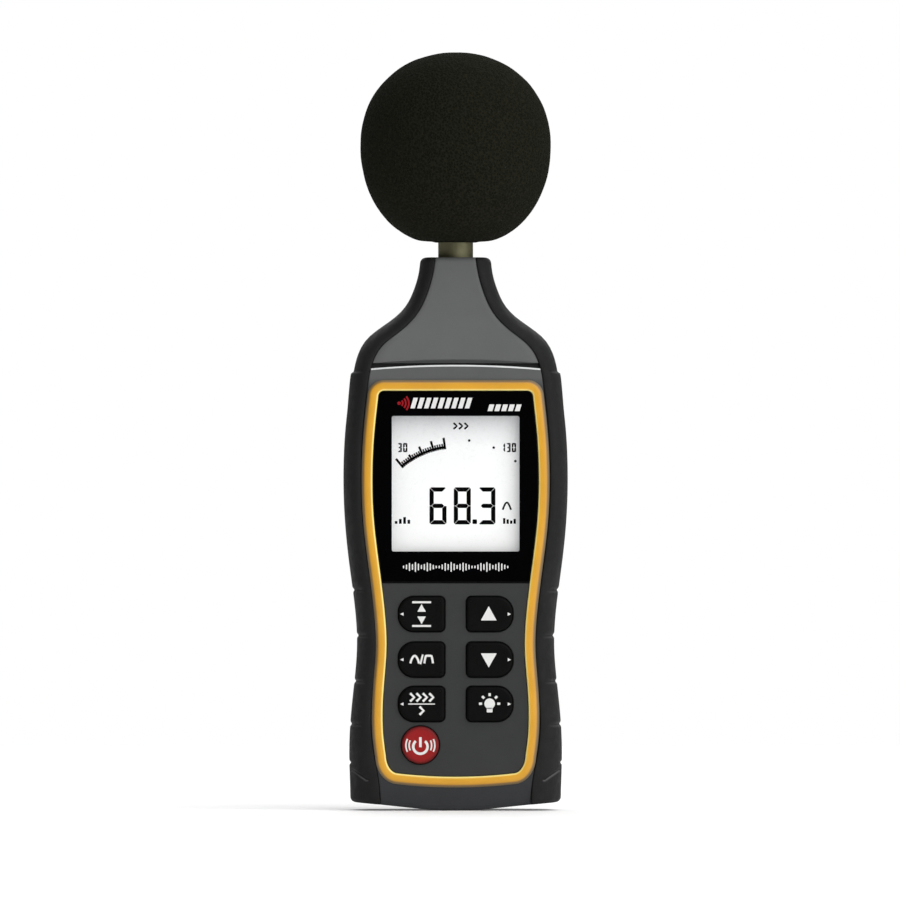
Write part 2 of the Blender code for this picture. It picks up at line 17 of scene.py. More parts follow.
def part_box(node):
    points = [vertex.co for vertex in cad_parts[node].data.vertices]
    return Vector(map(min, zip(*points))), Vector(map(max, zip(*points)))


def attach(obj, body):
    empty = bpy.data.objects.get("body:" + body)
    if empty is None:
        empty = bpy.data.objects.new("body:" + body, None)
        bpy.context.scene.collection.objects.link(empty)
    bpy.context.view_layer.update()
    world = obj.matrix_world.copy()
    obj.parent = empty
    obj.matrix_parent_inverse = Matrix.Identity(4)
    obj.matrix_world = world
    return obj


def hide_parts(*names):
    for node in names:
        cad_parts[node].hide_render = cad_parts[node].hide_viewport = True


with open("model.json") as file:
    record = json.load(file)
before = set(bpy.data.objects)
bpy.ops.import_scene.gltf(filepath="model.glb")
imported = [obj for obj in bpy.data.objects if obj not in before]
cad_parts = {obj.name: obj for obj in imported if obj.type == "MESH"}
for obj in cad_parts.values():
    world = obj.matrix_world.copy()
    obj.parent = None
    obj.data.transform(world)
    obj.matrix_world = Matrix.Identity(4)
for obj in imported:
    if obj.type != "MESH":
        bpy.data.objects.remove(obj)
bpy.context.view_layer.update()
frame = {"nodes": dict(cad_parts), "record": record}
MM = 0.001


# ---- sizes --------------------------------------------------------------------------------

def node_box(node):
    """Lowest and highest corner of a CAD node, in millimetres."""
    low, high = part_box(node)
    return low / MM, high / MM


def middle(node):
    return [(a + b) / 2 for a, b in zip(*node_box(node))]


def hermite(points, slopes):
    """A curve through (height, value) points with the given slope at each."""
    at, level = np.array(points, float).T

    def value(height):
        height = min(max(height, at[0]), at[-1])
        i = min(max(int(np.searchsorted(at, height)) - 1, 0), len(at) - 2)
        gap = at[i + 1] - at[i]
        t = (height - at[i]) / gap
        return float(level[i] * (2 * t**3 - 3 * t**2 + 1) + level[i + 1] * (3 * t**2 - 2 * t**3)
                     + gap * (slopes[i] * (t**3 - 2 * t**2 + t) + slopes[i + 1] * (t**3 - t**2)))

    return value


def smooth_curve(points):
    """A curve through the points that never overshoots them."""
    at, level = np.array(points, float).T
    rise = np.diff(level) / np.diff(at)
    inner = [2 * a * b / (a + b) if a * b > 0 else 0.0 for a, b in zip(rise, rise[1:])]
    return hermite(points, [rise[0], *inner, rise[-1]])


def spline(points):
    """A natural cubic spline through the points."""
    at, level = np.array(points, float).T
    gap = np.diff(at)
    rise = np.diff(level) / gap
    count = len(at)
    matrix = np.zeros((count, count))
    matrix[0, :2] = 2, 1
    matrix[-1, -2:] = 1, 2
    for i in range(1, count - 1):
        matrix[i, i - 1:i + 2] = gap[i], 2 * (gap[i - 1] + gap[i]), gap[i - 1]
    right = 3 * np.r_[rise[0], gap[1:] * rise[:-1] + gap[:-1] * rise[1:], rise[-1]]
    return hermite(points, np.linalg.solve(matrix, right))


def step(low, high, value):
    """Rises smoothly from 0 at low to 1 at high."""
    t = min(max((value - low) / (high - low), 0.0), 1.0)
    return t * t * (3 - 2 * t)


# The case, as in the CAD: half-width, edge of the front face and depths by height.
case_line = spline((
    (0, 34.7), (8, 34.9), (17, 35.1), (30, 34.65), (43, 33.35), (54, 32.55), (66, 33.15),
    (82, 35.2), (98, 36.7), (112, 37.0), (124, 36.5), (134, 35.4), (141, 34.3),
    (148, 33.2), (151.5, 32.05), (155, 29.65), (159, 24.8), (162, 20.6), (165, 17.4),
    (171, 14.0), (177, 12.2), (182.2, 11.6),
))
front_edge = spline((
    (0, 24.9), (7, 25.3), (16, 26.6), (23, 27.6), (30, 27.9), (42, 27.1), (54, 26.35),
    (66, 27.0), (82, 29.1), (96, 30.7), (110, 31.2), (124, 30.7), (136, 29.5), (143, 28.6),
    (147, 27.9), (150, 26.8), (153, 24.6), (157, 19.4), (161, 14.8), (165, 11.8),
    (169, 9.9), (173, 8.5), (178, 7.3), (182.2, 6.7),
))
ring_line = spline((
    (17, 24.4), (23, 25.2), (30, 25.6), (42, 25.1), (54, 24.3), (66, 24.95), (82, 26.9),
    (96, 28.5), (110, 28.95), (124, 28.35), (136.3, 27.05),
))
front_curve = smooth_curve(((0, 15), (138, 15), (148, 13.9), (165, 12.2), (182.2, 10.4)))
back_curve = smooth_curve(((0, 17), (120, 17), (140, 16.2), (160, 13), (182.2, 9.6)))

CASE_TOP = node_box("front_left_grip")[1].z
STEP_Z = 146.75  # top of the lower face
STEP_GAP = 1.65  # from there to the neck plate
STEP_BOW = 1.2
SHOULDER_STEP = 0.7
BOTTOM_RADIUS = 1.7
TOP_RADIUS = 1.8
CHIN_TOP, CHIN_DROP = 8.0, 1.5  # below the trim ring the front face leans back
LAND_HALF = 7.0
ARCH_RISE = 2.6
ARCH_REACH = 34.0
GRIP = 1.5
PROUD = 0.3  # the rubber stands this far above the plastic beside it
GROOVES = (14.6, 28.4, 42.5, 57.6, 72.6)
GROOVE_DEPTH = 0.5
GROOVE_HALF = 0.6
POWER = 2.3  # of the case's rounded sides
POWER_RADIUS = 6.2  # of the power key
WINDOW = (0, 107.6, 42.0, 44.6)  # x, z, width, height
LABEL = (0, 110.6, 33.0, 14.0)
FACE_Y = node_box("display_lens")[0].y
PLATE_BACK = node_box("display_lens")[1].y
RING_Y = node_box("trim_ring")[0].y
LID = node_box("battery_cover")
LID_FOOT = LID[0].z + 1.7  # the plate's lower edge; its tabs reach below it
TAB_X = (-12, 12)
BACK_Y = LID[1].y
TRIPOD = node_box("tripod_insert")
SCREWS = [middle(f"case_screw_{i}")[::2] for i in range(1, 5)]
BAY = (17.0, 71.0)  # lowest and highest
BAY_HALF = 17.4
BAY_FLOOR = 3.5
KEY_FLANGE = 0.8
KEYS = ("key_max_min", "key_weighting", "key_response", "key_up", "key_down", "key_light")


def case_width(height):
    raised = SHOULDER_STEP * step(130, 143, height) * (1 - step(144.4, 145.8, height))
    return case_line(height) + raised


def end_inset(height):
    """How far the rounded bottom and top edges have drawn the outline in."""
    for radius, past in ((BOTTOM_RADIUS, BOTTOM_RADIUS - height),
                         (TOP_RADIUS, height - CASE_TOP + TOP_RADIUS)):
        if past > 0:
            return radius - math.sqrt(max(0, radius**2 - past**2))
    return 0.0


def arch(x, height):
    """Lift of the underside towards both sides, fading out up the case."""
    reach = min(1.0, max(0.0, abs(x) - LAND_HALF) / (ARCH_REACH - LAND_HALF))
    return ARCH_RISE * (1 - (1 - reach) ** 1.25) * (1 - step(0, 26, height))


def bow(x, height):
    """The line between the neck and the lower body dips towards both sides."""
    near = step(142.5, 146.5, height) * (1 - step(148.5, 157, height))
    return -STEP_BOW * min(1, abs(x) / 28)**2 * near


def stations(gap, extras=()):
    """Heights for the sections, closer at the rounded ends and round each extra height."""
    low, high = BOTTOM_RADIUS, CASE_TOP - TOP_RADIUS
    heights = [low * (1 - math.cos(math.radians(a))) for a in range(0, 91, 10)]
    heights += [CASE_TOP - TOP_RADIUS * (1 - math.sin(math.radians(a))) for a in range(0, 91, 15)]
    heights += [*np.linspace(low, high, int((high - low) / gap) + 1), *extras]
    ordered = sorted({round(float(z), 4) for z in heights})
    return [z for i, z in enumerate(ordered) if i == 0 or z - ordered[i - 1] > 0.02]


# ---- materials ----------------------------------------------------------------------------

def linear(colour):
    """Display values from 0 to 255 as a linear colour; four numbers are one already."""
    if len(colour) == 4:
        return colour
    shares = [value / 255 for value in colour]
    return (*(s / 12.92 if s <= 0.04045 else ((s + 0.055) / 1.055) ** 2.4 for s in shares), 1.0)


def grey(level):
    return (level, level, level, 1.0)


def feed(node, inputs):
    """Set a node's inputs, or link those that another node's output drives."""
    for socket, value in inputs.items():
        if isinstance(value, bpy.types.NodeSocket):
            node.id_data.links.new(value, node.inputs[socket])
        else:
            node.inputs[socket].default_value = value


def add(tree, kind, inputs=None, **settings):
    node = tree.nodes.new("ShaderNode" + kind)
    for key, value in settings.items():
        setattr(node, key, value)
    feed(node, inputs or {})
    return node


def noise_node(tree, scale, detail=3.0, stretch=None):
    """Noise in the piece's own metres; stretch squeezes it along each axis."""
    place = add(tree, "TexCoord").outputs["Object"]
    if stretch:
        place = add(tree, "Mapping", {"Vector": place, "Scale": stretch}).outputs["Vector"]
    inputs = {"Vector": place, "Scale": scale, "Detail": detail}
    return add(tree, "TexNoise", inputs).outputs["Fac"]


def cell_node(tree, scale):
    place = add(tree, "TexCoord").outputs["Object"]
    return add(tree, "TexVoronoi", {"Vector": place, "Scale": scale}).outputs["Distance"]


def axis_node(tree, axis, space="Object"):
    place = add(tree, "TexCoord").outputs[space]
    return add(tree, "SeparateXYZ", {"Vector": place}).outputs[axis]


def ramp_node(tree, factor, *stops):
    ramp = add(tree, "ValToRGB", {"Fac": factor})
    while len(ramp.color_ramp.elements) < len(stops):
        ramp.color_ramp.elements.new(0.5)
    for element, (position, colour) in zip(ramp.color_ramp.elements, stops):
        element.position = position
        element.color = linear(colour)
    return ramp.outputs["Color"]


def range_node(tree, value, low, high, start=0.3, end=0.7):
    inputs = {"Value": value, "From Min": start, "From Max": end, "To Min": low, "To Max": high}
    return add(tree, "MapRange", inputs).outputs["Result"]


def bump_node(tree, height, depth, strength=1.0):
    inputs = {"Height": height, "Distance": depth, "Strength": strength}
    return add(tree, "Bump", inputs).outputs["Normal"]


def painted(tree, name):
    """A value that the piece carries for each vertex."""
    return add(tree, "Attribute", attribute_name=name).outputs["Fac"]


def multiplied(tree, first, second):
    inputs = {"Factor": 1.0, 6: first, 7: second}
    return add(tree, "Mix", inputs, data_type="RGBA", blend_type="MULTIPLY").outputs[2]


def finish_look(tree, shader, tone, gloss, roughness, bump, specular=0.5):
    """Colour, uneven gloss from a (scale, detail) noise and a bump."""
    feed(shader, {"Base Color": tone, "Normal": bump, "Specular IOR Level": specular,
                  "Roughness": range_node(tree, noise_node(tree, *gloss), *roughness)})


def moulded(tree, shader, colour, roughness=(0.45, 0.6), grain=1800, depth=0.00003,
            variation=0.12, metallic=0.0, specular=0.4, stretch=None, blotch=60, coat=0.0):
    """Soft colour blotches, uneven gloss and a fine moulded or brushed grain."""
    base = linear(colour)[:3]
    darker = (*(c * (1 - variation) for c in base), 1.0)
    lighter = (*(min(1.0, c * (1 + variation)) for c in base), 1.0)
    tone = ramp_node(tree, noise_node(tree, blotch, 4), (0.3, darker), (0.7, lighter))
    bump = bump_node(tree, noise_node(tree, grain, 2, stretch), depth)
    finish_look(tree, shader, tone, (blotch * 6, 5), roughness, bump, specular)
    feed(shader, {"Metallic": metallic})
    if coat:
        feed(shader, {"Coat Weight": coat, "Coat Roughness": 0.05})


def case_look(tree, shader):
    """Front shell plastic: darker below, lighter above the display, with a painted highlight along
    the lower face's top edge and painted shade in the gap above it.
    """
    soft = noise_node(tree, 70, 4)
    low_tone = ramp_node(tree, soft, (0.3, (122, 125, 131)), (0.7, (133, 136, 143)))
    high_tone = ramp_node(tree, soft, (0.3, (226, 229, 229)), (0.7, (237, 240, 239)))
    level = range_node(tree, axis_node(tree, "Z"), 0.0, 1.0, 0.138, 0.1425)
    base = add(tree, "Mix", {"Factor": level, 6: low_tone, 7: high_tone}, data_type="RGBA")
    # painted light at the step: 0 is painted shade, 0.5 plain plastic, 1 a painted highlight
    step_light = ramp_node(tree, painted(tree, "step_light"),
                     (0.0, grey(0.004)), (0.5, grey(0.112)), (1.0, grey(0.95)))
    bump = bump_node(tree, noise_node(tree, 2200, 2), 0.00003)
    tone = multiplied(tree, base.outputs[2], step_light)
    finish_look(tree, shader, tone, (400, 5), (0.42, 0.58), bump, 0.3)


def rubber_look(tree, shader):
    """Soft dark rubber, finely textured, with painted highlights along the edges of its grooves and
    creases.
    """
    base = ramp_node(tree, noise_node(tree, 60, 4), (0.3, (74, 74, 74)), (0.7, (84, 84, 84)))
    # painted highlights along grooves and creases lift the darkened rubber back to its full tone
    highlight = ramp_node(tree, painted(tree, "highlight"), (0.0, grey(0.16)), (1.0, grey(1.0)))
    bump = bump_node(tree, cell_node(tree, 1500), 0.00006, 0.7)
    finish_look(tree, shader, multiplied(tree, base, highlight), (360, 5), (0.6, 0.78), bump, 0.14)


def foam_look(tree, shader):
    """Open-cell foam: dark pores between slightly lighter struts."""
    cells = cell_node(tree, 1300)
    feed(shader, {"Base Color": ramp_node(tree, cells, (0.1, (18, 18, 13)), (0.75, (31, 31, 24))),
                  "Normal": bump_node(tree, cells, 0.0004, 0.8),
                  "Roughness": 1.0, "Specular IOR Level": 0.03})


def clear_look(tree, shader):
    """Clear acrylic with faint, uneven haze."""
    haze = noise_node(tree, 40, 4)
    feed(shader, {"Base Color": (0.02, 0.02, 0.02, 1), "Alpha": range_node(tree, haze, 0.02, 0.04),
                  "Roughness": range_node(tree, haze, 0.03, 0.07)})


def lcd_look(tree, shader):
    """Reflective display with a faint painted glow: nearly white, with painted shadow greying it
    towards its top edge.
    """
    # painted shadow from the lens border, greying the display towards its top
    level = range_node(tree, axis_node(tree, "Z"), 0.0, 1.0, 0.085, 0.131)
    tone = ramp_node(tree, level, (0.0, (0.86, 0.87, 0.86, 1)), (0.75, (0.82, 0.83, 0.83, 1)),
                     (1.0, (0.62, 0.63, 0.64, 1)))
    # painted glow: the emission keeps the display bright though it is no lamp
    feed(shader, {"Base Color": tone, "Emission Color": tone, "Emission Strength": 0.3,
                  "Roughness": range_node(tree, noise_node(tree, 900, 3), 0.25, 0.35)})


def power_look(tree, shader):
    """Red silicone with painted shade darkening it towards the power key's rim."""
    flat = add(tree, "CombineXYZ", {"X": axis_node(tree, "X"), "Y": axis_node(tree, "Z")})
    reach = add(tree, "VectorMath", {0: flat.outputs["Vector"]}, operation="LENGTH")
    share = add(tree, "Math", {0: reach.outputs["Value"], 1: POWER_RADIUS * MM},
                operation="DIVIDE")
    # painted shade towards the rounded rim of the key
    tone = ramp_node(tree, share.outputs["Value"],
                     (0.0, (152, 25, 27)), (0.78, (144, 26, 27)), (1.0, (84, 22, 24)))
    bump = bump_node(tree, noise_node(tree, 2600, 2), 0.00002)
    finish_look(tree, shader, tone, (500, 4), (0.42, 0.6), bump, 0.15)


def ring_look(tree, shader):
    """Amber plastic with painted light from the value that the ring carries: a painted highlight
    along its inner lip, painted shade on its outer side.
    """
    # painted shade on the outer side, plain amber across the top, painted highlight on the inner
    # lip
    tone = ramp_node(tree, painted(tree, "lip"), (0.0, (104, 88, 58)), (0.1, (132, 104, 58)),
                     (0.3, (205, 146, 36)), (0.75, (226, 166, 36)), (1.0, (255, 234, 140)))
    patchy = ramp_node(tree, noise_node(tree, 90, 4), (0.3, (0.9, 0.89, 0.87, 1)),
                       (0.7, grey(1.0)))
    bump = bump_node(tree, noise_node(tree, 2400, 2), 0.000015)
    finish_look(tree, shader, multiplied(tree, tone, patchy), (500, 4), (0.3, 0.42), bump)


def new_look(name, build, *values, **settings):
    material = bpy.data.materials.new(name)
    material.use_nodes = True
    tree = material.node_tree
    build(tree, tree.nodes["Principled BSDF"], *values, **settings)
    return material


# Display colour, range of roughness, grain's scale and depth, then what differs from moulded.
MOULDED = {
    "panel_grey": ((54, 55, 55), (0.5, 0.62), 2400, 0.00002, 0.06, 0, 0.15),
    "back_grey": ((50, 51, 53), (0.5, 0.64), 1500, 0.00004, 0.1, 0, 0.3),
    "neck_grey": ((95, 96, 96), (0.42, 0.55), 2200, 0.00002, 0.05, 0, 0.2),
    "display_lens": ((3, 3, 4), (0.04, 0.1), 300, 0.000002, 0.2, 0, 0.12, None, 60, 0.03),
    "lcd_ink": ((2, 2, 2), (0.5, 0.6), 900, 0.000002, 0.2, 0, 0.02),
    "key_rubber": ((8, 9, 8), (0.5, 0.65), 2600, 0.00003, 0.15, 0, 0.06),
    "print_white": ((224, 224, 222), (0.4, 0.55), 1800, 0.00001, 0.03),
    "print_grey": ((150, 151, 152), (0.4, 0.55), 1800, 0.00001, 0.05),
    "print_red": ((142, 20, 28), (0.4, 0.55), 1800, 0.00001, 0.1, 0, 0.1),
    "microphone_metal": ((118, 116, 90), (0.48, 0.6), 240, 0.00003, 0.1, 1, 0.4, (1, 1, 60)),
    "steel": ((176, 178, 180), (0.25, 0.4), 900, 0.00002, 0.08, 1),
    "brass": ((196, 158, 82), (0.25, 0.4), 900, 0.00002, 0.1, 1),
    "black_plastic": ((24, 24, 25), (0.4, 0.55), 1500, 0.00002),
    "white_plastic": ((226, 226, 218), (0.3, 0.45), 1500, 0.00002, 0.04),
    "board_green": ((28, 92, 52), (0.3, 0.5), 500, 0.00002, 0.25, 0, 0.4, None, 220),
    "cell_wrap": ((40, 78, 138), (0.18, 0.3), 700, 0.00001, 0.1, 0, 0.4, None, 60, 0.3),
    "floor_pale": ((248, 248, 248), (0.8, 0.9), 400, 0.00001, 0.01, 0, 0.1),
}
LOOKS = {name: new_look(name, moulded, *row) for name, row in MOULDED.items()}
for slot, name, build in (
        ("case_grey", "case_grey", case_look), ("grip_rubber", "grip_rubber", rubber_look),
        ("amber_trim", "amber_trim", ring_look), ("clear", "clear_acrylic", clear_look),
        ("lcd_glass", "lcd_face", lcd_look), ("foam", "foam", foam_look),
        ("key_red", "key_red", power_look)):
    LOOKS[slot] = new_look(name, build)
LOOKS["clear"].blend_method = "BLEND"
feed(LOOKS["floor_pale"].node_tree.nodes["Principled BSDF"],
     {"Emission Color": grey(1.0), "Emission Strength": 0.1})


# ---- outlines, as (x, z) points seen from the front ---------------------------------------

def polar(place, radius, degrees):
    angle = math.radians(degrees)
    return place[0] + radius * math.cos(angle), place[1] + radius * math.sin(angle)


def arc(place, radius, start, end, steps):
    return [polar(place, radius, a) for a in np.linspace(start, end, steps + 1)]


def disc(x, z, radius, steps=24):
    return arc((x, z), radius, 0, 360 - 360 / steps, steps - 1)


def rounded_box(x, z, width, height, radius, steps=6):
    """An anticlockwise rectangle with rounded corners."""
    a, b = width / 2 - radius, height / 2 - radius
    points = []
    for start, (right, up) in zip((-90, 0, 90, 180), ((1, -1), (1, 1), (-1, 1), (-1, -1))):
        points += arc((x + right * a, z + up * b), radius, start, start + 90, steps)
    return points


def unit(steps):
    return steps / np.linalg.norm(steps, axis=1)[:, None]


def stroke(points, width):
    """A straight or bent stroke through the points as one outline."""
    line = np.asarray(points, float)
    along = unit(np.gradient(line, axis=0))
    side = np.stack([-along[:, 1], along[:, 0]], 1) * width / 2
    return [tuple(p) for p in np.concatenate([line - side, (line + side)[::-1]])]


def spoke(place, degrees, inner, outer, width):
    """A radial stroke."""
    return stroke([polar(place, radius, degrees) for radius in (inner, outer)], width)


def grown(outline, distance):
    """An anticlockwise outline moved outwards by a distance."""
    points = np.asarray(outline, float)
    if distance == 0:
        return points
    before = unit(points - np.roll(points, 1, 0))
    along = unit(before + unit(np.roll(points, -1, 0) - points))
    normal = np.stack([along[:, 1], -along[:, 0]], 1)
    stretch = np.clip((along * before).sum(1), 0.5, 1)
    return points + normal * (distance / stretch)[:, None]


def clipped(outline, level, keep_above):
    kept = []
    for index, point in enumerate(outline):
        before = outline[index - 1]
        inside = (point[1] >= level) == keep_above
        if inside != ((before[1] >= level) == keep_above):
            t = (level - before[1]) / (point[1] - before[1])
            kept.append((before[0] + t * (point[0] - before[0]), level))
        if inside:
            kept.append(tuple(point))
    return kept


def spaced(outline, least=0.02):
    """The outline without points that lie on top of each other."""
    kept = []
    for point in outline:
        if not kept or math.dist(point, kept[-1]) > least:
            kept.append(tuple(point))
    if math.dist(kept[0], kept[-1]) <= least:
        kept.pop()
    return kept


def mirrored(half):
    """A right half that starts and ends on the middle line, and its mirror image."""
    return half + [(-x, y) for x, y in reversed(half[1:-1])]


# ---- loops and meshes ---------------------------------------------------------------------

def layers(*pairs):
    """Loops of outlines, each at its own depth along Y."""
    return [[(x, y, z) for x, z in outline] for outline, y in pairs]


def prism(outline, front, back):
    return layers((outline, front), (outline, back))


def rounded_plate(outline, front, back, radius, steps=3):
    """Loops of a plate whose front edge is rounded; its front may face either way."""
    inward = 1 if back > front else -1
    pairs = [(outline, back)]
    for i in range(steps + 1):
        angle = math.pi / 2 * i / steps
        y = front + inward * radius * (1 - math.sin(angle))
        pairs.append((grown(outline, -radius * (1 - math.cos(angle))), y))
    return layers(*pairs)


def soften(mesh, sharp_angle):
    mesh.shade_smooth()
    mesh.set_sharp_from_angle(angle=math.radians(sharp_angle))


def make_mesh(name, vertices, faces, look, body=None, smooth=32, origin=(0, 0, 0)):
    """A mesh object from vertices in millimetres, riding on a body of the CAD."""
    place = np.array(origin, float)
    mesh = bpy.data.meshes.new(name)
    mesh.from_pydata(((np.asarray(vertices, float) - place) * MM).tolist(), [], faces)
    shape = bmesh.new()
    shape.from_mesh(mesh)
    bmesh.ops.recalc_face_normals(shape, faces=shape.faces)
    shape.to_mesh(mesh)
    shape.free()
    soften(mesh, smooth)
    if look:
        mesh.materials.append(LOOKS[look])
    piece = bpy.data.objects.new(name, mesh)
    piece.location = place * MM
    bpy.context.scene.collection.objects.link(piece)
    if body:
        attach(piece, body)
    return piece


def bridged(loops, closed=False):
    """Vertices and faces of a skin over equal loops of points."""
    loops = np.asarray(loops, float)
    rows, count = loops.shape[:2]
    faces = []
    for row in range(rows if closed else rows - 1):
        low = row * count
        high = (row + 1) % rows * count
        for i in range(count):
            j = (i + 1) % count
            faces.append((low + i, low + j, high + j, high + i))
    if not closed:
        faces += [tuple(range(count)), tuple(range((rows - 1) * count, rows * count))]
    return loops.reshape(-1, 3), faces


def skin(name, loops, look, body="case", closed=False, smooth=32, origin=(0, 0, 0),
         bowed_foot=False):
    """A skinned piece; a bowed first cap is split into triangles, as seen along Z."""
    vertices, faces = bridged(loops, closed)
    if bowed_foot:
        foot = faces.pop(-2)
        outline = [Vector((vertices[i][0], vertices[i][1], 0)) for i in foot]
        faces += [tuple(foot[i] for i in part) for part in tessellate_polygon([outline])]
    return make_mesh(name, vertices, faces, look, body, smooth, origin)


def merged(name, shapes, look, body="case"):
    """Several capped skins, each given by its loops, as one piece."""
    vertices, faces = [], []
    for loops in shapes:
        points, skin_faces = bridged(loops)
        faces += [tuple(i + len(vertices) for i in face) for face in skin_faces]
        vertices += points.tolist()
    return make_mesh(name, vertices, faces, look, body)


def turned(name, profile, look, body="case", place=(0, 0, 0), axis="Z", sides=64, closed=False):
    """Turn (radius, distance) points about an axis through a place."""
    angles = np.linspace(0, 2 * np.pi, sides, endpoint=False)
    loops = []
    for radius, along in profile:
        columns = [radius * np.cos(angles), radius * np.sin(angles)]
        columns.insert(2 if axis == "Z" else 1, np.full(sides, float(along)))
        loops.append(np.stack(columns, 1) + place)
    return skin(name, loops, look, body, closed, origin=place)


def cutter(name, loops):
    return skin(name, loops, None, None)


def flared(name, outline, surface, back, chamfer=0.25):
    """A cutter along Y whose mouth is chamfered where it meets the surface."""
    out = -1 if back > surface else 1
    mouth = grown(outline, chamfer + 0.3)
    return cutter(name, layers((mouth, surface + 2 * out), (mouth, surface + 0.3 * out),
                               (outline, surface - chamfer * out), (outline, back)))


def neck_cutter(low=170, high=190, radius=6.1):
    """A round hole along Z for the microphone tube."""
    return cutter("neck", [[(x, y, z) for x, y in disc(0, 0, radius, 64)] for z in (low, high)])


def carve(piece, cutters):
    """Subtract the cutters from a piece and keep the result as its mesh."""
    for tool in cutters:
        cut = piece.modifiers.new("cut", "BOOLEAN")
        cut.operation = "DIFFERENCE"
        cut.solver = "EXACT"
        cut.object = tool
    evaluated = piece.evaluated_get(bpy.context.evaluated_depsgraph_get())
    mesh = bpy.data.meshes.new_from_object(evaluated)
    piece.modifiers.clear()
    piece.data = mesh
    for tool in cutters:
        bpy.data.objects.remove(tool, do_unlink=True)
    soften(mesh, 30)
    piece.modifiers.new("flat_faces", "WEIGHTED_NORMAL").keep_sharp = True


def add_values(piece, name, values):
    """A painted value for each vertex, which the piece's material reads by name."""
    layer = piece.data.attributes.new(name, "FLOAT", "POINT")
    layer.data.foreach_set("value", np.asarray(values, np.float32))


def stand_for(piece, slot, *nodes):
    if nodes:
        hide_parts(*nodes)


def printed(name, slot, shapes, front, back, look, body="case"):
    """Thin printed shapes, each an outline, as one piece."""
    piece = merged(name, [prism(outline, front, back) for outline in shapes], look, body)
    stand_for(piece, slot)


# ---- case ---------------------------------------------------------------------------------

def corner(edge, width, depth, stop, steps):
    """From the edge of the flat face round towards the widest line, ending at y = stop."""
    last = math.acos(min(1.0, max(0.0, stop / depth)) ** (POWER / 2))
    return [(edge + (width - edge) * math.sin(a) ** (2 / POWER), depth * math.cos(a) ** (2 / POWER))
            for a in np.linspace(0, last, steps + 1)]


def section(height, side):
    """Half-width, edge of the flat face and depth of the case; side is -1 at the front."""
    inset = end_inset(height)
    line = case_line(height)
    edge = front_edge(height) if side < 0 else line - max(4.8, 0.23 * line)
    depth = (front_curve if side < 0 else back_curve)(height) - 0.8 * inset
    return case_width(height) - inset, edge, depth


def placed(points, height, side, hand=1):
    """(x, depth) points of a section as points in space, with the arched underside."""
    return [(hand * x, side * y, height + arch(x, height) + bow(x, height)) for x, y in points]


def crease(x, height):
    """Depth of a short diagonal crease in the rubber at each lower corner, and a painted highlight
    along its lower side.
    """
    start = np.array((29.4, 8.4))
    along = np.array((4.6, 3.2))
    point = np.array((x, height)) - start
    t = min(max(point @ along / (along @ along), 0), 1)
    gap = np.linalg.norm(point - t * along)
    below = (t * along - point)[1]
    # painted highlight along the crease's lower side
    highlight = math.exp(-((gap - 0.35) / 0.3) ** 2) if below > 0.1 else 0.0
    return 0.6 * math.exp(-(gap / 0.5) ** 2), highlight


def grooved(x, height, share, side):
    """Depth of the rubber's grooves and creases at a point of its outside, and the painted
    highlight along their edges there.
    """
    cut = highlight = 0.0
    for row, z in enumerate(GROOVES):
        across = step(0.85, 0.97, share) if row == 0 else step(0.3, 0.75, share)
        cut += GROOVE_DEPTH * across * math.exp(-((height - z) / GROOVE_HALF) ** 2)
        # painted highlight just below each groove
        highlight += 0.35 * across * math.exp(-((height - z + 0.6) / 0.35) ** 2)
    if side < 0:
        crease_cut, crease_highlight = crease(x, height)
        cut, highlight = max(cut, crease_cut), max(highlight, crease_highlight)
    return cut, min(1.0, highlight)


def grip_skin(name, side, hand):
    """Rubber over one side of one half: a rounded lip, grooves across it and a seam."""
    lip = 0.35
    extras = [z + 0.2 * k for z in GROOVES for k in range(-8, 9)]
    extras += [144.4 + 0.2 * k for k in range(8)]
    extras += [6.0 + 0.25 * k for k in range(32)]
    loops = []
    highlit = []
    for height in stations(1.6, extras):
        width, edge, depth = section(height, side)
        top = depth + PROUD
        outer = [(edge + lip * (1 - math.cos(a)), top - lip * (1 - math.sin(a)))
                 for a in np.linspace(0, math.pi / 2, 5)]
        outer += corner(edge + lip, width, top, 0.5, 48)[1:]
        shaped = []
        for x, y in outer:
            share = (x - edge) / (width - edge)
            cut, highlight = grooved(x, height, share, side)
            reach = math.hypot(share, y / top)
            shaped.append((x - cut * share / reach, y - cut * y / top / reach))
            highlit.append(highlight)
        widest = shaped[-1][0]
        seam = [(widest - 0.1, 0.28), (widest - 0.3, 0.1), (width - GRIP, 0.08)]
        inner = corner(edge, width - GRIP, depth - GRIP, 0.1, 10)
        highlit += [0.0] * (len(seam) + len(inner))
        loops.append(placed(shaped + seam + inner[::-1], height, side, hand))
    piece = skin(name + "_rubber", loops, "grip_rubber", smooth=50)
    # painted highlights along the grooves and creases, read by the rubber's material
    add_values(piece, "highlight", highlit)
    stand_for(piece, "grip_rubber", name)


def shell_face(height, depth):
    """Depth of the front shell's flat face, before the neck plate covers its top."""
    if height > STEP_Z:
        return depth - 1.6
    rounding = 0.6  # of the lower face's top edge
    into = max(0, height - (STEP_Z - rounding)) / rounding
    return (depth + 0.55 * step(139, 147, height)
            - CHIN_DROP * max(0.0, 1 - height / CHIN_TOP) ** 1.4
            - rounding * (1 - math.sqrt(1 - into**2)))


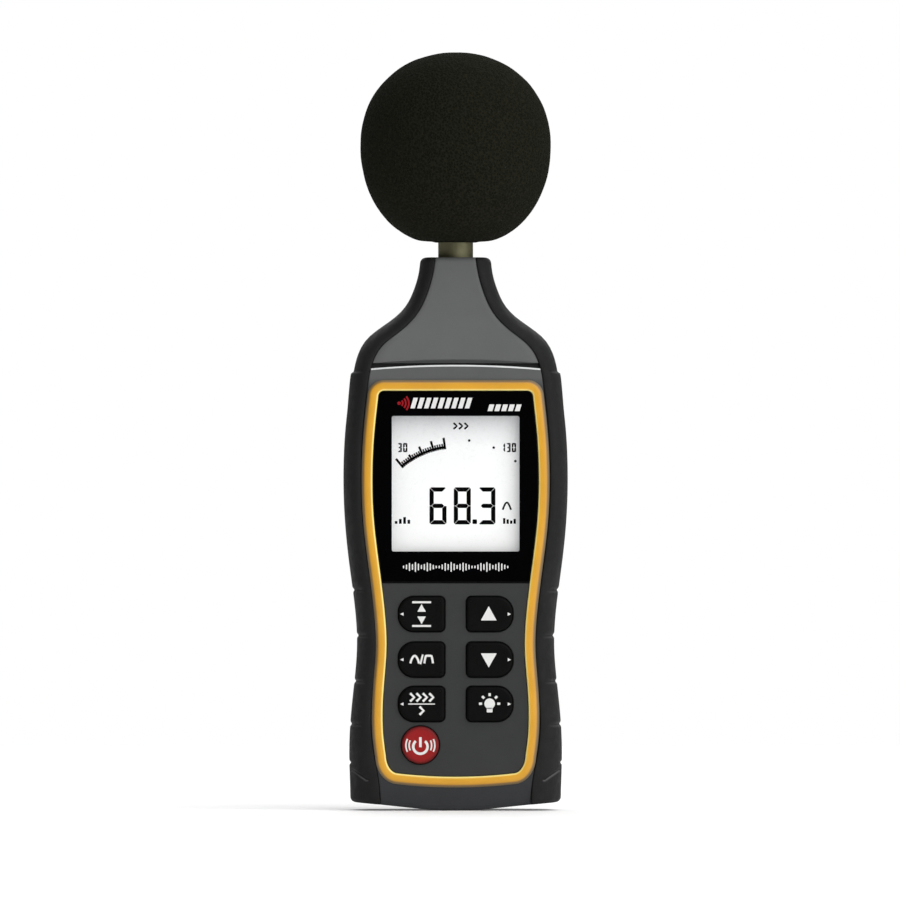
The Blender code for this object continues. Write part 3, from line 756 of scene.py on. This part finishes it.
def shell_loops(side):
    """Sections of one half of the case as a hollow shell, before its openings are cut.

    The front half has a tongue that passes the parting plane into a groove of the rear half.
    """
    tongue_end, tongue_side = (-0.7, 1.0) if side < 0 else (0.85, 0.88)
    cavity = (5.0, 180.0)
    extras = [cavity[0], cavity[0] + 0.05, cavity[1], cavity[1] - 0.05]
    if side < 0:
        extras += [STEP_Z - d for d in (0.75, 0.6, 0.45, 0.3, 0.15, 0.05, 0)]
        extras += [STEP_Z + d for d in (0.04, STEP_GAP + 0.5, STEP_GAP + 0.7)]
    loops = []
    for height in stations(3.0, extras):
        width, edge, depth = section(height, side)
        edge -= 0.15
        under_grip = depth - GRIP - 0.25
        face = shell_face(height, depth) if side < 0 else depth
        soft = 0.3 if face - under_grip > 0.5 else 0.05
        outer = [((edge - soft) * i / 6, face) for i in range(7)]
        outer += [(edge - 0.3 * soft, face - 0.3 * soft), (edge, face - soft), (edge, under_grip)]
        outer += corner(edge, width - GRIP - 0.25, under_grip, 0.1, 12)[1:]
        tongue_x = outer[-1][0] - tongue_side
        outer += [(tongue_x, 0.1), (tongue_x, tongue_end)]
        inner_width = width - GRIP - 2.3
        if cavity[0] < height < cavity[1]:
            inner = corner(min(edge, inner_width - 1), inner_width, depth - 3.3, 0.1, 12)
            inner[-1] = (inner_width, tongue_end)
        else:
            inner = [(inner_width * (0.4 + 0.6 * i / 12), tongue_end) for i in range(13)]
        loops.append(placed(mirrored(outer + inner[::-1] + [(0.0, inner[0][1])]), height, side))
    return loops


def ring_outline():
    """Centre line of the trim ring, anticlockwise."""
    half, radius = 1.55, 3.5
    bottom, top = (z.z + inset for z, inset in zip(node_box("trim_ring"), (half, -half)))
    side = [(ring_line(z), z) for z in [*np.arange(18, 136.2, 1.5), top - radius]]
    bend = arc((side[-1][0] - radius, top - radius), radius, 0, 90, 12)[1:]
    across = [(x, top) for x in np.linspace(bend[-1][0], 0, 14)[1:]]
    flat = [(x, bottom + 1.2 * (x / 20) ** 2) for x in np.linspace(0, 19.5, 14)]
    start, end = np.array(flat[-1]), np.array(side[0])
    first = start + np.array((2.6, 0.32))
    second = end + np.array((-0.16, -4.2))
    curve = [tuple((1 - t)**3 * start + 3 * t * (1 - t)**2 * first
                   + 3 * t * t * (1 - t) * second + t**3 * end)
             for t in np.linspace(0, 1, 14)[1:-1]]
    return spaced(mirrored(flat + curve + side + bend + across))


def key_outline(name):
    """D-shaped cap of a key, strongly rounded on the side away from the middle."""
    low, high = node_box(name)
    x, _, z = middle(name)
    across = (high.x - low.x) / 2 - KEY_FLANGE
    up = (high.z - low.z) / 2 - KEY_FLANGE
    big, small = 5.2, 1.6
    points = arc((across - big, big - up), big, -90, 0, 14)
    points += arc((across - big, up - big), big, 0, 90, 14)
    points += arc((small - across, up - small), small, 90, 180, 8)
    points += arc((small - across, small - up), small, 180, 270, 8)
    if x < 0:
        points = [(-a, b) for a, b in reversed(points)]
    return spaced([(x + a, z + b) for a, b in points])


RING = ring_outline()
BAY_BOX = (0, sum(BAY) / 2, 2 * BAY_HALF, BAY[1] - BAY[0])
TUB = rounded_box(*BAY_BOX[:2], BAY_BOX[2] + 2.4, BAY_BOX[3] + 2.4, 2.0)
KEY_OUTLINES = {name: key_outline(name) for name in KEYS}
KEY_OUTLINES["key_power"] = disc(*middle("key_power")[::2], POWER_RADIUS, 72)


def make_front_shell():
    piece = skin("front_shell", shell_loops(-1), "case_grey", smooth=30, bowed_foot=True)
    tools = [flared("pocket", grown(RING, 1.62), FACE_Y, PLATE_BACK + 0.3, 0.12)]
    window = rounded_box(*WINDOW[:2], WINDOW[2] + 1.4, WINDOW[3] + 1.4, 1.0)
    tools.append(cutter("window", prism(window, -20, -10)))
    for name, outline in KEY_OUTLINES.items():
        tools.append(cutter(name, prism(grown(outline, 0.3), -20, -10)))
    carve(piece, tools + [neck_cutter()])
    paint_step_light(piece)
    stand_for(piece, "case_grey", "front_housing")


def paint_step_light(piece):
    """Painted highlight along the lower face's top edge and painted shade in the gap above it, as a
    painted attribute.
    """
    points = np.empty(len(piece.data.vertices) * 3)
    piece.data.vertices.foreach_get("co", points)
    x, y, z = points.reshape(-1, 3).T / MM
    above = z - np.array([bow(a, STEP_Z) for a in x]) - STEP_Z
    values = np.full(len(x), 0.5)
    front = y < -11
    # painted highlight along the lower face's top edge
    values[front & (above > -0.5) & (above < 0.02)] = 1.0
    # painted shade in the gap between the lower face and the neck plate
    values[front & (above >= 0.02) & (above < STEP_GAP + 0.6)] = 0.0
    add_values(piece, "step_light", values)


def make_rear_shell():
    piece = skin("rear_shell", shell_loops(1), "back_grey", smooth=30, bowed_foot=True)
    low, high = LID
    seat = rounded_box((low.x + high.x) / 2, (LID_FOOT + high.z) / 2, high.x - low.x + 0.4,
                       high.z - LID_FOOT + 0.4, 1.6)
    tools = [flared("lid_seat", seat, high.y, low.y - 0.3, 0.2),
             cutter("bay", prism(TUB, 9, 20))]
    for x in TAB_X:
        slot = rounded_box(x, low.z + 1.5, 5.6, 4.2, 0.3, 3)
        tools.append(cutter("tab_slot", prism(slot, 12.5, 16.2)))
    for x, z in SCREWS:
        tools.append(cutter("screw_head", prism(disc(x, z, 2.9), 8, 25)))
    tools.append(flared("label_seat", rounded_box(*LABEL, 1.5), BACK_Y, BACK_Y - 0.25, 0.1))
    hole = disc(0, middle("tripod_insert")[2], TRIPOD[1].x + 0.05, 60)
    tools.append(flared("tripod", hole, 17.0, 7.2, 0.2))
    carve(piece, tools + [neck_cutter()])
    stand_for(piece, "case_grey", "rear_housing")


def make_battery_tub():
    """The tub behind the battery cover, an open box with rounded corners."""
    outer, inner = grown(TUB, -0.05), rounded_box(*BAY_BOX, 1.2)
    mouth = LID[0].y - 0.35
    loops = layers((outer, BAY_FLOOR - 1.2), (outer, mouth), (inner, mouth), (inner, BAY_FLOOR))
    stand_for(skin("battery_tub", loops, "back_grey"), "case_grey")


def make_label():
    """A plate in a shallow seat on the back, printed with plain bars and pictograms."""
    x, z, width, height = LABEL
    outline = rounded_box(x, z, width - 0.2, height - 0.2, 1.4)
    plate = rounded_plate(outline, BACK_Y - 0.06, BACK_Y - 0.26, 0.05)
    stand_for(skin("rear_label", plate, "black_plastic"), "black_plastic")
    shapes = []
    for row, lengths in enumerate(((9, 6), (12, 4), (7, 9))):
        left = -1.0
        for length in lengths:
            line = rounded_box(-(left + length / 2), z + 3.6 - 2.0 * row, length, 0.7, 0.3, 3)
            shapes.append(line)
            left += length + 0.8
    for i in range(3):
        cell_x = 12.6 - 3.4 * i
        shapes += [rounded_box(cell_x, z + 1.9, 2.4, 4.4, 0.4, 3),
                   rounded_box(cell_x, z + 4.4, 1.0, 0.5, 0.15, 3)]
    shapes.append(stroke(((14.6, z - 3.2), (-14.6, z - 3.2)), 0.35))
    shapes += [rounded_box(13.6 - 3.02 * i, z - 4.8, 1.6, 1.2, 0.3, 3) for i in range(10)]
    printed("rear_label_print", "black_plastic", shapes, BACK_Y - 0.1, BACK_Y - 0.03,
            "print_grey")


def make_neck_cover():
    """Light plate over the neck, with rounded edges and a bowed lower edge."""
    low, rounding = STEP_Z + STEP_GAP, 0.35
    heights = [low + d for d in (0, 0.12, rounding)]
    heights += [z for z in stations(1.5) if z > low + 0.8]
    loops = []
    for height in heights:
        _, edge, depth = section(height, -1)
        into = max(0, 1 - (height - low) / rounding)
        depth -= rounding * (1 - math.sqrt(1 - into**2))
        edge -= 0.15
        back = front_curve(height) - 1.3 - 0.8 * end_inset(height)
        half = [((edge - 0.3) * i / 8, depth) for i in range(9)]
        half += [(edge - 0.09, depth - 0.09), (edge, depth - 0.3), (edge, back), (0, back)]
        loops.append(placed(mirrored(half), height, -1))
    stand_for(skin("neck_plate", loops, "neck_grey"), "neck_grey", "neck_cover")


def make_ring():
    """Trim ring: crowned, with a crisp lip inside carrying a painted highlight and a softer outer
    side carrying painted shade.
    """
    profile = (  # growth of the centre line, y, painted light: a highlight on the inner lip near 1, shade on the outer side near 0
        (1.55, PLATE_BACK, 0.0), (1.55, FACE_Y - 0.04, 0.0), (1.98, FACE_Y - 0.04, 0.0),
        (1.96, FACE_Y - 0.14, 0.0), (1.7, RING_Y + 0.5, 0.03), (1.35, RING_Y + 0.3, 0.1),
        (1.05, RING_Y + 0.15, 0.25), (0.8, RING_Y + 0.07, 0.45), (0.3, RING_Y, 0.6),
        (-0.6, RING_Y, 0.7), (-1.05, RING_Y + 0.05, 0.8), (-1.2, RING_Y + 0.1, 1.0),
        (-1.45, RING_Y + 0.34, 1.0), (-1.55, RING_Y + 0.6, 1.0), (-1.55, PLATE_BACK, 1.0),
    )
    loops = layers(*((grown(RING, growth), y) for growth, y, _ in profile))
    piece = skin("amber_ring", loops, "amber_trim", closed=True, smooth=40)
    # painted highlight on the inner lip and painted shade on the outer side
    add_values(piece, "lip", np.repeat([lip for _, _, lip in profile], len(RING)))
    stand_for(piece, "amber_trim", "trim_ring")


# ---- display ------------------------------------------------------------------------------

SEGMENTS = {"0": "abcdef", "1": "bc", "3": "abgcd", "6": "afgedc", "8": "abcdefg"}


def digit(character, x, z, width, height, thick):
    """Seven-segment strokes with mitred corners; x, z is the lower left corner."""
    gap, cut, half = 0.05 * thick, 0.35 * thick, thick / 2
    side, top = width / 2, height / 2
    upright = [(side, gap), (side - half, gap), (side - thick, half + gap),
               (side - thick, top - thick - gap), (side - cut / 2, top - cut / 2 - gap),
               (side, top - cut)]
    level = [(cut - side, top), (cut / 2 - side + gap, top - cut / 2),
             (thick - side + gap, top - thick), (side - thick - gap, top - thick),
             (side - cut / 2 - gap, top - cut / 2), (side - cut, top)]
    tip = side - half - gap
    bridge = [(-tip, 0), (half - tip, -half), (tip - half, -half), (tip, 0), (tip - half, half),
              (half - tip, half)]
    strokes = {"a": (level, 1, 1), "b": (upright, 1, 1), "c": (upright, 1, -1),
               "d": (level, 1, -1), "e": (upright, -1, -1), "f": (upright, -1, 1),
               "g": (bridge, 1, 1)}
    return [[(x + side + hand * u, z + top + rise * v) for u, v in points]
            for points, hand, rise in (strokes[segment] for segment in SEGMENTS[character])]


def lcd_marks():
    """Reading, scale and small pictograms on the display."""
    shapes = []
    for character, x in (("6", -8.6), ("8", -0.6), ("3", 7.5)):
        shapes += digit(character, x, 94.2, 5.6, 12.2, 1.4)
    shapes.append(rounded_box(6.3, 95.1, 1.5, 1.5, 0.3, 3))
    for character, x in (("3", -19.1), ("0", -17.3), ("1", 14.9), ("3", 16.7), ("0", 18.5)):
        shapes += digit(character, x, 118.0, 1.4, 3.0, 0.55)
    dial = (0.26, 91.9)
    outer = 30.2
    long_reach = (0.9, -0.5, 0.3, 0.7, 0.9)
    for i in range(21):
        reach, width = (-1.0, 0.55) if i % 5 else (long_reach[i // 5], 0.75)
        shapes.append(spoke(dial, 129.8 - 1.6 * i, outer - 2.9, outer + reach, width))
    shapes.append(stroke(arc(dial, outer - 2.2, 130, 97.5, 30), 0.75))
    shapes += [disc(*polar(dial, outer, angle), 0.42, 12) for angle in (82, 66, 50)]
    for x in (-0.7, 1.1, 2.9):
        arrow = ((0, 125.6), (0.6, 126.1), (1.1, 126.6), (0.6, 127.1), (0, 127.6))
        shapes.append(stroke([(x + a, z) for a, z in arrow], 0.6))
    curve = [(15.5 + 0.25 * i, 99.0 + 2.4 * math.sin(math.pi * i / 11)) for i in range(12)]
    shapes.append(stroke(curve, 0.6))
    for i, height in enumerate((0.9, 1.6, 2.2, 1.3)):
        for x, top, width in ((-19.6 + 1.4 * i, 94.4 + height, 0.85),
                              (16.0 + 1.15 * i, 96.8 - 0.6 * height, 0.75)):
            shapes.append(stroke(((x, 94.4), (x, top)), width))
    return shapes


def lens_marks():
    """A bar waveform under the window and two rows of slanted bars above it."""
    levels = (0.9, 1.6, 2.6, 1.9, 3.2, 2.2, 1.3, 2.0, 2.9, 2.3, 1.5, 0.9) * 3
    shapes = [rounded_box((i - (len(levels) - 1) / 2) * 0.98, 80.2, 0.42, level, 0.2, 3)
              for i, level in enumerate(levels)]
    rows = ((-14.9, 132.4, 1.45, 3.5, 9), (10.5, 131.5, 1.6, 2.2, 5))
    for left, low, width, height, count in rows:
        lean = 0.3 * height
        slanted = ((0, 0), (width, 0), (width + lean, height), (lean, height))
        shapes += [[(left + 2.24 * i + a, low + b) for a, b in slanted] for i in range(count)]
    return shapes


def make_display():
    inside = spaced(grown(RING, -1.7))
    outline = clipped(inside, node_box("display_lens")[0].z, True)
    border = skin("lens_border", rounded_plate(outline, FACE_Y, PLATE_BACK, 0.25), "display_lens")
    hole = rounded_box(*WINDOW, 0.6)
    carve(border, [flared("window", hole, FACE_Y, PLATE_BACK + 2, 0.02)])
    stand_for(border, "display_lens", "display_lens")
    pane = prism(grown(hole, -0.03), FACE_Y + 0.04, PLATE_BACK)
    stand_for(skin("lens_window", pane, "clear"), "display_lens")

    low, high = node_box("lcd_glass")
    x, _, z = middle("lcd_glass")
    glass = rounded_box(x, z, high.x - low.x, high.z - low.z, 0.4)
    face = skin("lcd_panel", rounded_plate(glass, low.y, high.y, 0.2), "lcd_glass")
    stand_for(face, "lcd_glass", "lcd_glass")
    printed("lcd_marks", "lcd_glass", lcd_marks(), low.y - 0.05, low.y - 0.005, "lcd_ink")

    waves = [stroke(arc((-18.7, 134.1), radius, -42, 42, 12), 0.6) for radius in (1.3, 2.3, 3.3)]
    waves.append(disc(-18.6, 134.1, 0.6, 16))
    for name, shapes, look in (("lens_waves", waves, "print_red"),
                               ("lens_print", lens_marks(), "print_white")):
        printed(name, "display_lens", shapes, FACE_Y - 0.03, FACE_Y + 0.01, look)

    outline = clipped(inside, node_box("keypad_panel")[1].z, False)
    panel = skin("key_panel", rounded_plate(outline, FACE_Y, PLATE_BACK, 0.2), "panel_grey")
    carve(panel, [flared(name, grown(shape, 0.22), FACE_Y, PLATE_BACK + 2, 0.18)
                  for name, shape in KEY_OUTLINES.items()])
    stand_for(panel, "case_grey", "keypad_panel")


# ---- keys ---------------------------------------------------------------------------------

def make_key(name, slot, flange):
    """One key: rubber cap with a soft edge and a faintly dished top, skirt and plunger."""
    low, high = node_box(name)
    x, _, z = middle(name)
    outline = KEY_OUTLINES[name]
    nub, skirt = grown(outline, -3.4), grown(outline, flange)
    skirt_back, skirt_front = -10.4, -11.4
    loops = layers((nub, high.y), (nub, skirt_back), (skirt, skirt_back), (skirt, skirt_front))
    loops += rounded_plate(outline, low.y, skirt_front, 0.9, 6)
    loops += layers(*((grown(outline, -inset), low.y + sink)
                      for inset, sink in ((1.3, 0.0), (2.0, 0.02), (3.0, 0.05))))
    piece = skin(name + "_cap", loops, slot, name, origin=(x, low.y, z))
    stand_for(piece, slot, name)


def triangle(x, z, size, way):
    foot = z - way * size * 0.8
    return [(x - size, foot), (x + size, foot), (x, z + way * size)]


def chevron(x, z, reach=1.35, width=0.8):
    return stroke([(x - reach / 2, z - reach), (x + reach / 2, z), (x - reach / 2, z + reach)],
                  width)


def max_min_icon(x, z):
    shapes = []
    for way in (1, -1):
        end = z + 3.9 * way
        shapes += [stroke(((x - 3.1, end), (x + 3.1, end)), 0.65),
                   triangle(x, z + 1.9 * way, 1.4, way)]
    return shapes


def weighting_icon(x, z):
    waves = [math.sin(math.pi * i / 11) for i in range(12)]
    hump = [(x - 3.7 + 0.26 * i, z - 1.2 + 2.5 * wave ** 0.8) for i, wave in enumerate(waves)]
    plateau = [(x + 0.9 + 0.26 * i, z - 1.2 + 2.5 * min(1, 2.2 * wave))
               for i, wave in enumerate(waves)]
    return [stroke(hump, 0.7), stroke(((x - 0.4, z - 1.5), (x + 0.4, z + 1.7)), 0.6),
            stroke(plateau, 0.7)]


def response_icon(x, z):
    return [*(chevron(x - 3.1 + 2.1 * i, z + 2.2) for i in range(4)), chevron(x, z - 2.2),
            stroke(((x - 4.4, z), (x + 4.4, z)), 0.35)]


def light_icon(x, z):
    return [disc(x, z + 0.1, 1.75, 32), rounded_box(x, z - 2.0, 1.9, 1.5, 0.25, 3),
            *(spoke((x, z + 0.1), angle, 2.5, 3.5, 0.8) for angle in range(0, 181, 45))]


def power_icon(x, z):
    return [stroke(arc((x, z - 0.5), 2.35, 130, 410, 40), 0.85),
            stroke(((x, z - 0.7), (x, z + 2.6)), 0.85),
            *(stroke(arc((x, z - 0.1), radius, turn - 26, turn + 26, 10), 0.5)
              for turn in (0, 180) for radius in (3.7, 4.75))]


ICONS = {
    "key_max_min": max_min_icon, "key_weighting": weighting_icon,
    "key_response": response_icon, "key_light": light_icon, "key_power": power_icon,
    "key_up": lambda x, z: [triangle(x - 0.3, z, 2.6, 1)],
    "key_down": lambda x, z: [triangle(x - 0.3, z, 2.6, -1)],
}


def make_keys():
    for name in KEYS:
        make_key(name, "key_rubber", KEY_FLANGE)
    make_key("key_power", "key_red", 0.5)
    for name, icon in ICONS.items():
        x, _, z = middle(name)
        shapes = icon(x, z)
        if name in KEYS:
            hand = 1 if x > 0 else -1
            edge, size = x + hand * 6.5, 0.55
            shapes.append([(edge - hand * size, z - size), (edge + hand * size, z),
                           (edge - hand * size, z + size)])
        top = node_box(name)[0].y
        printed(name + "_symbol", "key_rubber" if name in KEYS else "key_red", shapes,
                top - 0.04, top + 0.06, "print_white", name)


# ---- microphone and windscreen ------------------------------------------------------------

def make_windscreen():
    """Open-cell foam ball: a dense skin with small pores and a bore for the microphone."""
    low, high = node_box("windscreen")
    radius = 31.5
    above, below = 30.6, 34.2  # half-heights of the two halves; the lower one is cut flat
    equator = high.z - above
    base = low.z - equator
    bore, bore_top = 6.1, 227.3 - equator
    rows, sides = 200, 380
    points = [(0.5, bore_top), *((bore, z) for z in np.linspace(bore_top, base + 2, 12)),
              (bore, base + 0.5), (6.4, base + 0.1), (6.7, base + 0.05)]
    inside = len(points)
    for i in range(rows + 1):
        angle = math.radians(-77.0 + 167.0 * i / rows)
        power = 2 / (2.17 if angle < 0 else 2.1)
        rise = abs(math.sin(angle)) ** power
        if angle < 0:
            drop = -below * rise - base
            rise = base + 0.5 * (drop + math.sqrt(drop**2 + 1.2))
        else:
            rise *= above
        points.append((max(radius * abs(math.cos(angle)) ** power, 0.02), rise))
    loops = []
    for index, (across, rise) in enumerate(points):
        loop = []
        for angle in np.linspace(0, 2 * np.pi, sides, endpoint=False):
            p = Vector((across * math.cos(angle), across * math.sin(angle), rise))
            if index >= inside:
                distances, _ = noise.voronoi(p * 0.62)
                pore = max(0.0, 0.42 - distances[0])
                lumps = noise.noise(p * 0.16)
                fine = noise.noise(p * 1.9)
                p *= 1 - (0.45 * pore - 0.10 * lumps - 0.05 * fine + 0.1) / radius
            loop.append((p.x, p.y, p.z + equator))
        loops.append(loop)
    piece = skin("foam_ball", loops, "foam", "windscreen", smooth=180, origin=(0, 0, equator))
    stand_for(piece, "foam", "windscreen")


def make_microphone():
    low, high = node_box("microphone_tube")
    radius, bore = high.x, 4.9
    profile = [(bore, low.z), (radius - 0.2, low.z), (radius, low.z + 0.2),
               (radius, high.z - 0.3), (radius - 0.3, high.z), (bore, high.z)]
    tube = turned("tube_brushed", profile, "microphone_metal", sides=96, closed=True)
    stand_for(tube, "microphone_metal", "microphone_tube")

    low, high = node_box("microphone_grid")
    groove = high.z - 0.35
    profile = [(0.3, low.z), (radius - 0.2, low.z), (radius, low.z + 0.2),
               (radius, high.z - 1.2), (radius - 0.35, high.z - 0.5), (radius - 1.0, high.z),
               (4.3, high.z), (4.2, groove), (3.4, groove), (3.3, high.z),
               (2.4, high.z), (2.3, groove), (1.4, groove), (1.3, high.z), (0.3, high.z)]
    cap = turned("grid_cap", profile, "steel", sides=96)
    corners = ((4.9, -0.5), (7.0, -0.5), (7.0, 0.5), (4.9, 0.5))
    slots = []
    for i in range(12):
        c, s = polar((0, 0), 1, 30 * i)
        slots.append(cutter(f"slot_{i}", [[(a * c - b * s, a * s + b * c, z) for a, b in corners]
                                          for z in (low.z + 1.0, low.z + 2.9)]))
    carve(cap, slots)
    stand_for(cap, "steel", "microphone_grid")


# ---- back: lid, cells, screws, tripod insert ----------------------------------------------

def make_lid():
    """Battery cover with a thumb recess, an arrow, grip ribs and two foot tabs."""
    low, high = LID
    outline = rounded_box(0, (LID_FOOT + high.z) / 2, high.x - low.x - 0.1, high.z - LID_FOOT, 1.4)
    lid = skin("battery_lid", rounded_plate(outline, high.y, low.y, 0.35), "back_grey", None,
               origin=(0, high.y, LID_FOOT))
    thumb = rounded_box(0, high.z - 8.5, 16, 8.0, 2.5)
    tools = [flared("thumb", thumb, high.y, high.y - 0.7, 0.5)]
    for drop in (16.0, 18.6):
        top = high.z - drop
        arrow = [(-3.2, top), (0, top - 2.4), (3.2, top), (3.2, top + 1.3), (0, top - 1.1),
                 (-3.2, top + 1.3)]
        tools.append(flared("arrow", arrow, high.y, high.y - 0.4, 0.1))
    carve(lid, tools)
    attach(lid, "battery_cover")
    stand_for(lid, "case_grey", "battery_cover")
    ribs = [rounded_plate(rounded_box(0, high.z - 11.3 + 1.4 * i, 11.5, 0.8, 0.3, 4),
                          high.y - 0.1, high.y - 0.8, 0.15) for i in range(5)]
    tabs = []
    for x in TAB_X:
        left, right = x - 2.4, x + 2.4
        tab = [(left, low.z), (right, low.z), (right, LID_FOOT + 0.2), (left, LID_FOOT + 0.2)]
        tabs.append(prism(tab, low.y, 15.85))
    for name, shapes in (("battery_lid_ribs", ribs), ("battery_lid_tabs", tabs)):
        stand_for(merged(name, shapes, "back_grey", "battery_cover"), "case_grey")


def make_cells():
    """Three cells, the middle one upside down; profiles are measured from the positive end."""
    for index in (1, 2, 3):
        node = f"battery_{index}"
        low, high = node_box(node)
        x, y, _ = middle(node)
        tip, way = (low.z, 1) if index == 2 else (high.z, -1)
        radius = (high.x - low.x) / 2
        cap = ((0.3, 0), (1.7, 0), (1.9, 0.15), (1.9, 0.8), (4.6, 0.85), (4.9, 1.2), (4.7, 1.5))
        wrap = ((4.2, 1.0), (radius - 0.25, 1.0), (radius, 1.3), (radius, 43.2),
                (radius - 0.3, 43.6), (4.0, 43.7))
        base = ((4.6, 43.5), (4.5, 44.3), (3.9, 44.5), (0.3, 44.5))
        band = ((radius + 0.04, 30), (radius + 0.04, 36), (radius - 0.2, 36), (radius - 0.2, 30))
        for part, profile, look, slot in (
                ("wrap", wrap, "cell_wrap", "cell_wrap"), ("cap", cap, "steel", "steel"),
                ("base", base, "steel", "steel"), ("band", band, "print_white", "cell_wrap")):
            piece = turned(f"{node}_{part}", [(r, way * d) for r, d in profile], look,
                           place=(x, y, tip), sides=48, closed=part == "band")
            stand_for(piece, slot, *([node] if part == "wrap" else []))


def make_springs():
    """Smooth conical coils in place of the CAD's coarse ones."""
    wire, turns, count = 0.28, 4.0, 96
    for index in (1, 2, 3):
        node = f"battery_spring_{index}"
        low, high = node_box(node)
        x, y = middle(node)[0], middle(f"battery_{index}")[1]
        loops = []
        for t in np.linspace(0, 1, count + 1):
            radius = 3.6 - 1.4 * (1 - t if index == 2 else t)
            z = low.z + wire + (high.z - low.z - 2 * wire) * t
            loops.append([(*polar((x, y), reach, 360 * turns * t), z + rise)
                          for reach, rise in disc(radius, 0, wire, 10)])
        stand_for(skin(f"contact_coil_{index}", loops, "steel", smooth=60), "steel", node)


def make_fasteners():
    for index, (x, z) in enumerate(SCREWS, 1):
        low, high = node_box(f"case_screw_{index}")
        profile = [(0.2, low.y), (1.0, low.y + 0.4), (1.4, low.y + 1.2), (1.4, high.y - 2.0),
                   (2.6, high.y - 2.0), (2.6, high.y - 0.6), (2.2, high.y - 0.15),
                   (1.4, high.y), (0.2, high.y)]
        screw = turned(f"screw_{index}", profile, "steel", place=(x, 0, z), axis="Y", sides=48)
        carve(screw, [cutter("cross", prism(rounded_box(x, z, *size, 0.15, 3), high.y - 1.0,
                                            high.y + 1)) for size in ((3.0, 0.7), (0.7, 3.0))])
        stand_for(screw, "steel", f"case_screw_{index}")
    low, high = TRIPOD
    outer, bore, pitch = high.x, 3.2, 1.27
    profile = [(outer, low.y), (outer, high.y - 0.2), (outer - 0.2, high.y), (bore + 0.5, high.y)]
    for i in range(int((high.y - low.y - 0.6) / pitch)):
        y = high.y - 0.4 - i * pitch
        profile += [(bore, y), (bore + 0.02, y - 0.15), (bore + 0.7, y - pitch / 2)]
    profile += [(bore, low.y + 0.3), (bore, low.y)]
    insert = turned("insert_threaded", profile, "brass", place=(0, 0, (low.z + high.z) / 2),
                    axis="Y", closed=True)
    stand_for(insert, "brass", "tripod_insert")


def finish_inner_nodes():
    """CAD pieces that keep their shape get their slot's finish and softened edges."""
    slots = {row["node"]: row["material_slot"] for row in frame["record"]["subparts"]}
    for name, node in frame["nodes"].items():
        if node.hide_render:
            continue
        node.data.materials.clear()
        node.data.materials.append(LOOKS[slots[name]])
        bevel = node.modifiers.new("soft_edges", "BEVEL")
        bevel.width = 0.1 * MM
        bevel.segments = 2
        bevel.limit_method = "ANGLE"
        bevel.angle_limit = math.radians(40)


# ---- stage --------------------------------------------------------------------------------

FLOOR_RADIUS = 1250.0
VIEW_HEIGHT = 297.0  # height of the picture at the object
VIEW_X = -1.85
VIEW_Z = 118.7
LENS = 700.0
SENSOR = 36.0


def make_world():
    """White backdrop for the camera; softer light on the object, darkest straight ahead of it."""
    world = bpy.data.worlds.new("studio")
    bpy.context.scene.world = world
    world.use_nodes = True
    tree = world.node_tree
    tree.nodes.clear()
    overhead = range_node(tree, axis_node(tree, "Z", "Generated"), 0.14, 0.9, 0.35, 0.9)
    ahead = range_node(tree, axis_node(tree, "Y", "Generated"), 0.25, 1.0, -0.97, -0.5)
    both = add(tree, "Math", {0: overhead, 1: ahead}, operation="MULTIPLY")
    lit = add(tree, "Background", {"Strength": both.outputs["Value"]})
    seen = add(tree, "Background", {"Color": grey(1.0), "Strength": 1.0})
    camera_ray = add(tree, "LightPath").outputs["Is Camera Ray"]
    mix = add(tree, "MixShader", {"Fac": camera_ray, 1: lit.outputs["Background"],
                                  2: seen.outputs["Background"]})
    add(tree, "OutputWorld", {"Surface": mix.outputs["Shader"]})


def make_sun(name, towards, strength, spread):
    lamp = bpy.data.lights.new(name, "SUN")
    lamp.energy = strength
    lamp.angle = math.radians(spread)
    sun = bpy.data.objects.new(name, lamp)
    sun.rotation_mode = "QUATERNION"
    sun.rotation_quaternion = Vector(towards).to_track_quat("-Z", "Y")
    bpy.context.scene.collection.objects.link(sun)


def make_stage():
    """Pale floor, soft studio light and a camera straight in front of the object."""
    profile = [(0.5, -20), (FLOOR_RADIUS - 8, -20), (FLOOR_RADIUS, -12), (FLOOR_RADIUS - 2, -0.5),
               (FLOOR_RADIUS - 8, -0.05), (0.5, -0.05)]
    turned("floor", profile, "floor_pale", None, sides=256)
    make_world()
    make_sun("key_sun", (-0.72, 0.72, -0.58), 2.6, 80)
    make_sun("fill_sun", (0.0, -0.8, -0.6), 1.3, 60)

    data = bpy.data.cameras.new("camera")
    data.lens = LENS
    data.sensor_width = SENSOR
    data.clip_end = 100
    camera = bpy.data.objects.new("camera", data)
    camera.location = Vector((VIEW_X, -VIEW_HEIGHT * LENS / SENSOR, VIEW_Z)) * MM
    camera.rotation_euler = (math.pi / 2, 0, 0)
    bpy.context.scene.collection.objects.link(camera)
    bpy.context.scene.camera = camera
    bpy.context.scene.view_settings.view_transform = "Standard"


def main():
    make_stage()
    make_front_shell()
    make_rear_shell()
    make_battery_tub()
    make_label()
    make_neck_cover()
    for half, side in (("front", -1), ("rear", 1)):
        for hand_name, hand in (("left", -1), ("right", 1)):
            grip_skin(f"{half}_{hand_name}_grip", side, hand)
    make_ring()
    make_display()
    make_keys()
    make_windscreen()
    make_microphone()
    make_lid()
    make_cells()
    make_springs()
    make_fasteners()
    finish_inner_nodes()


main()
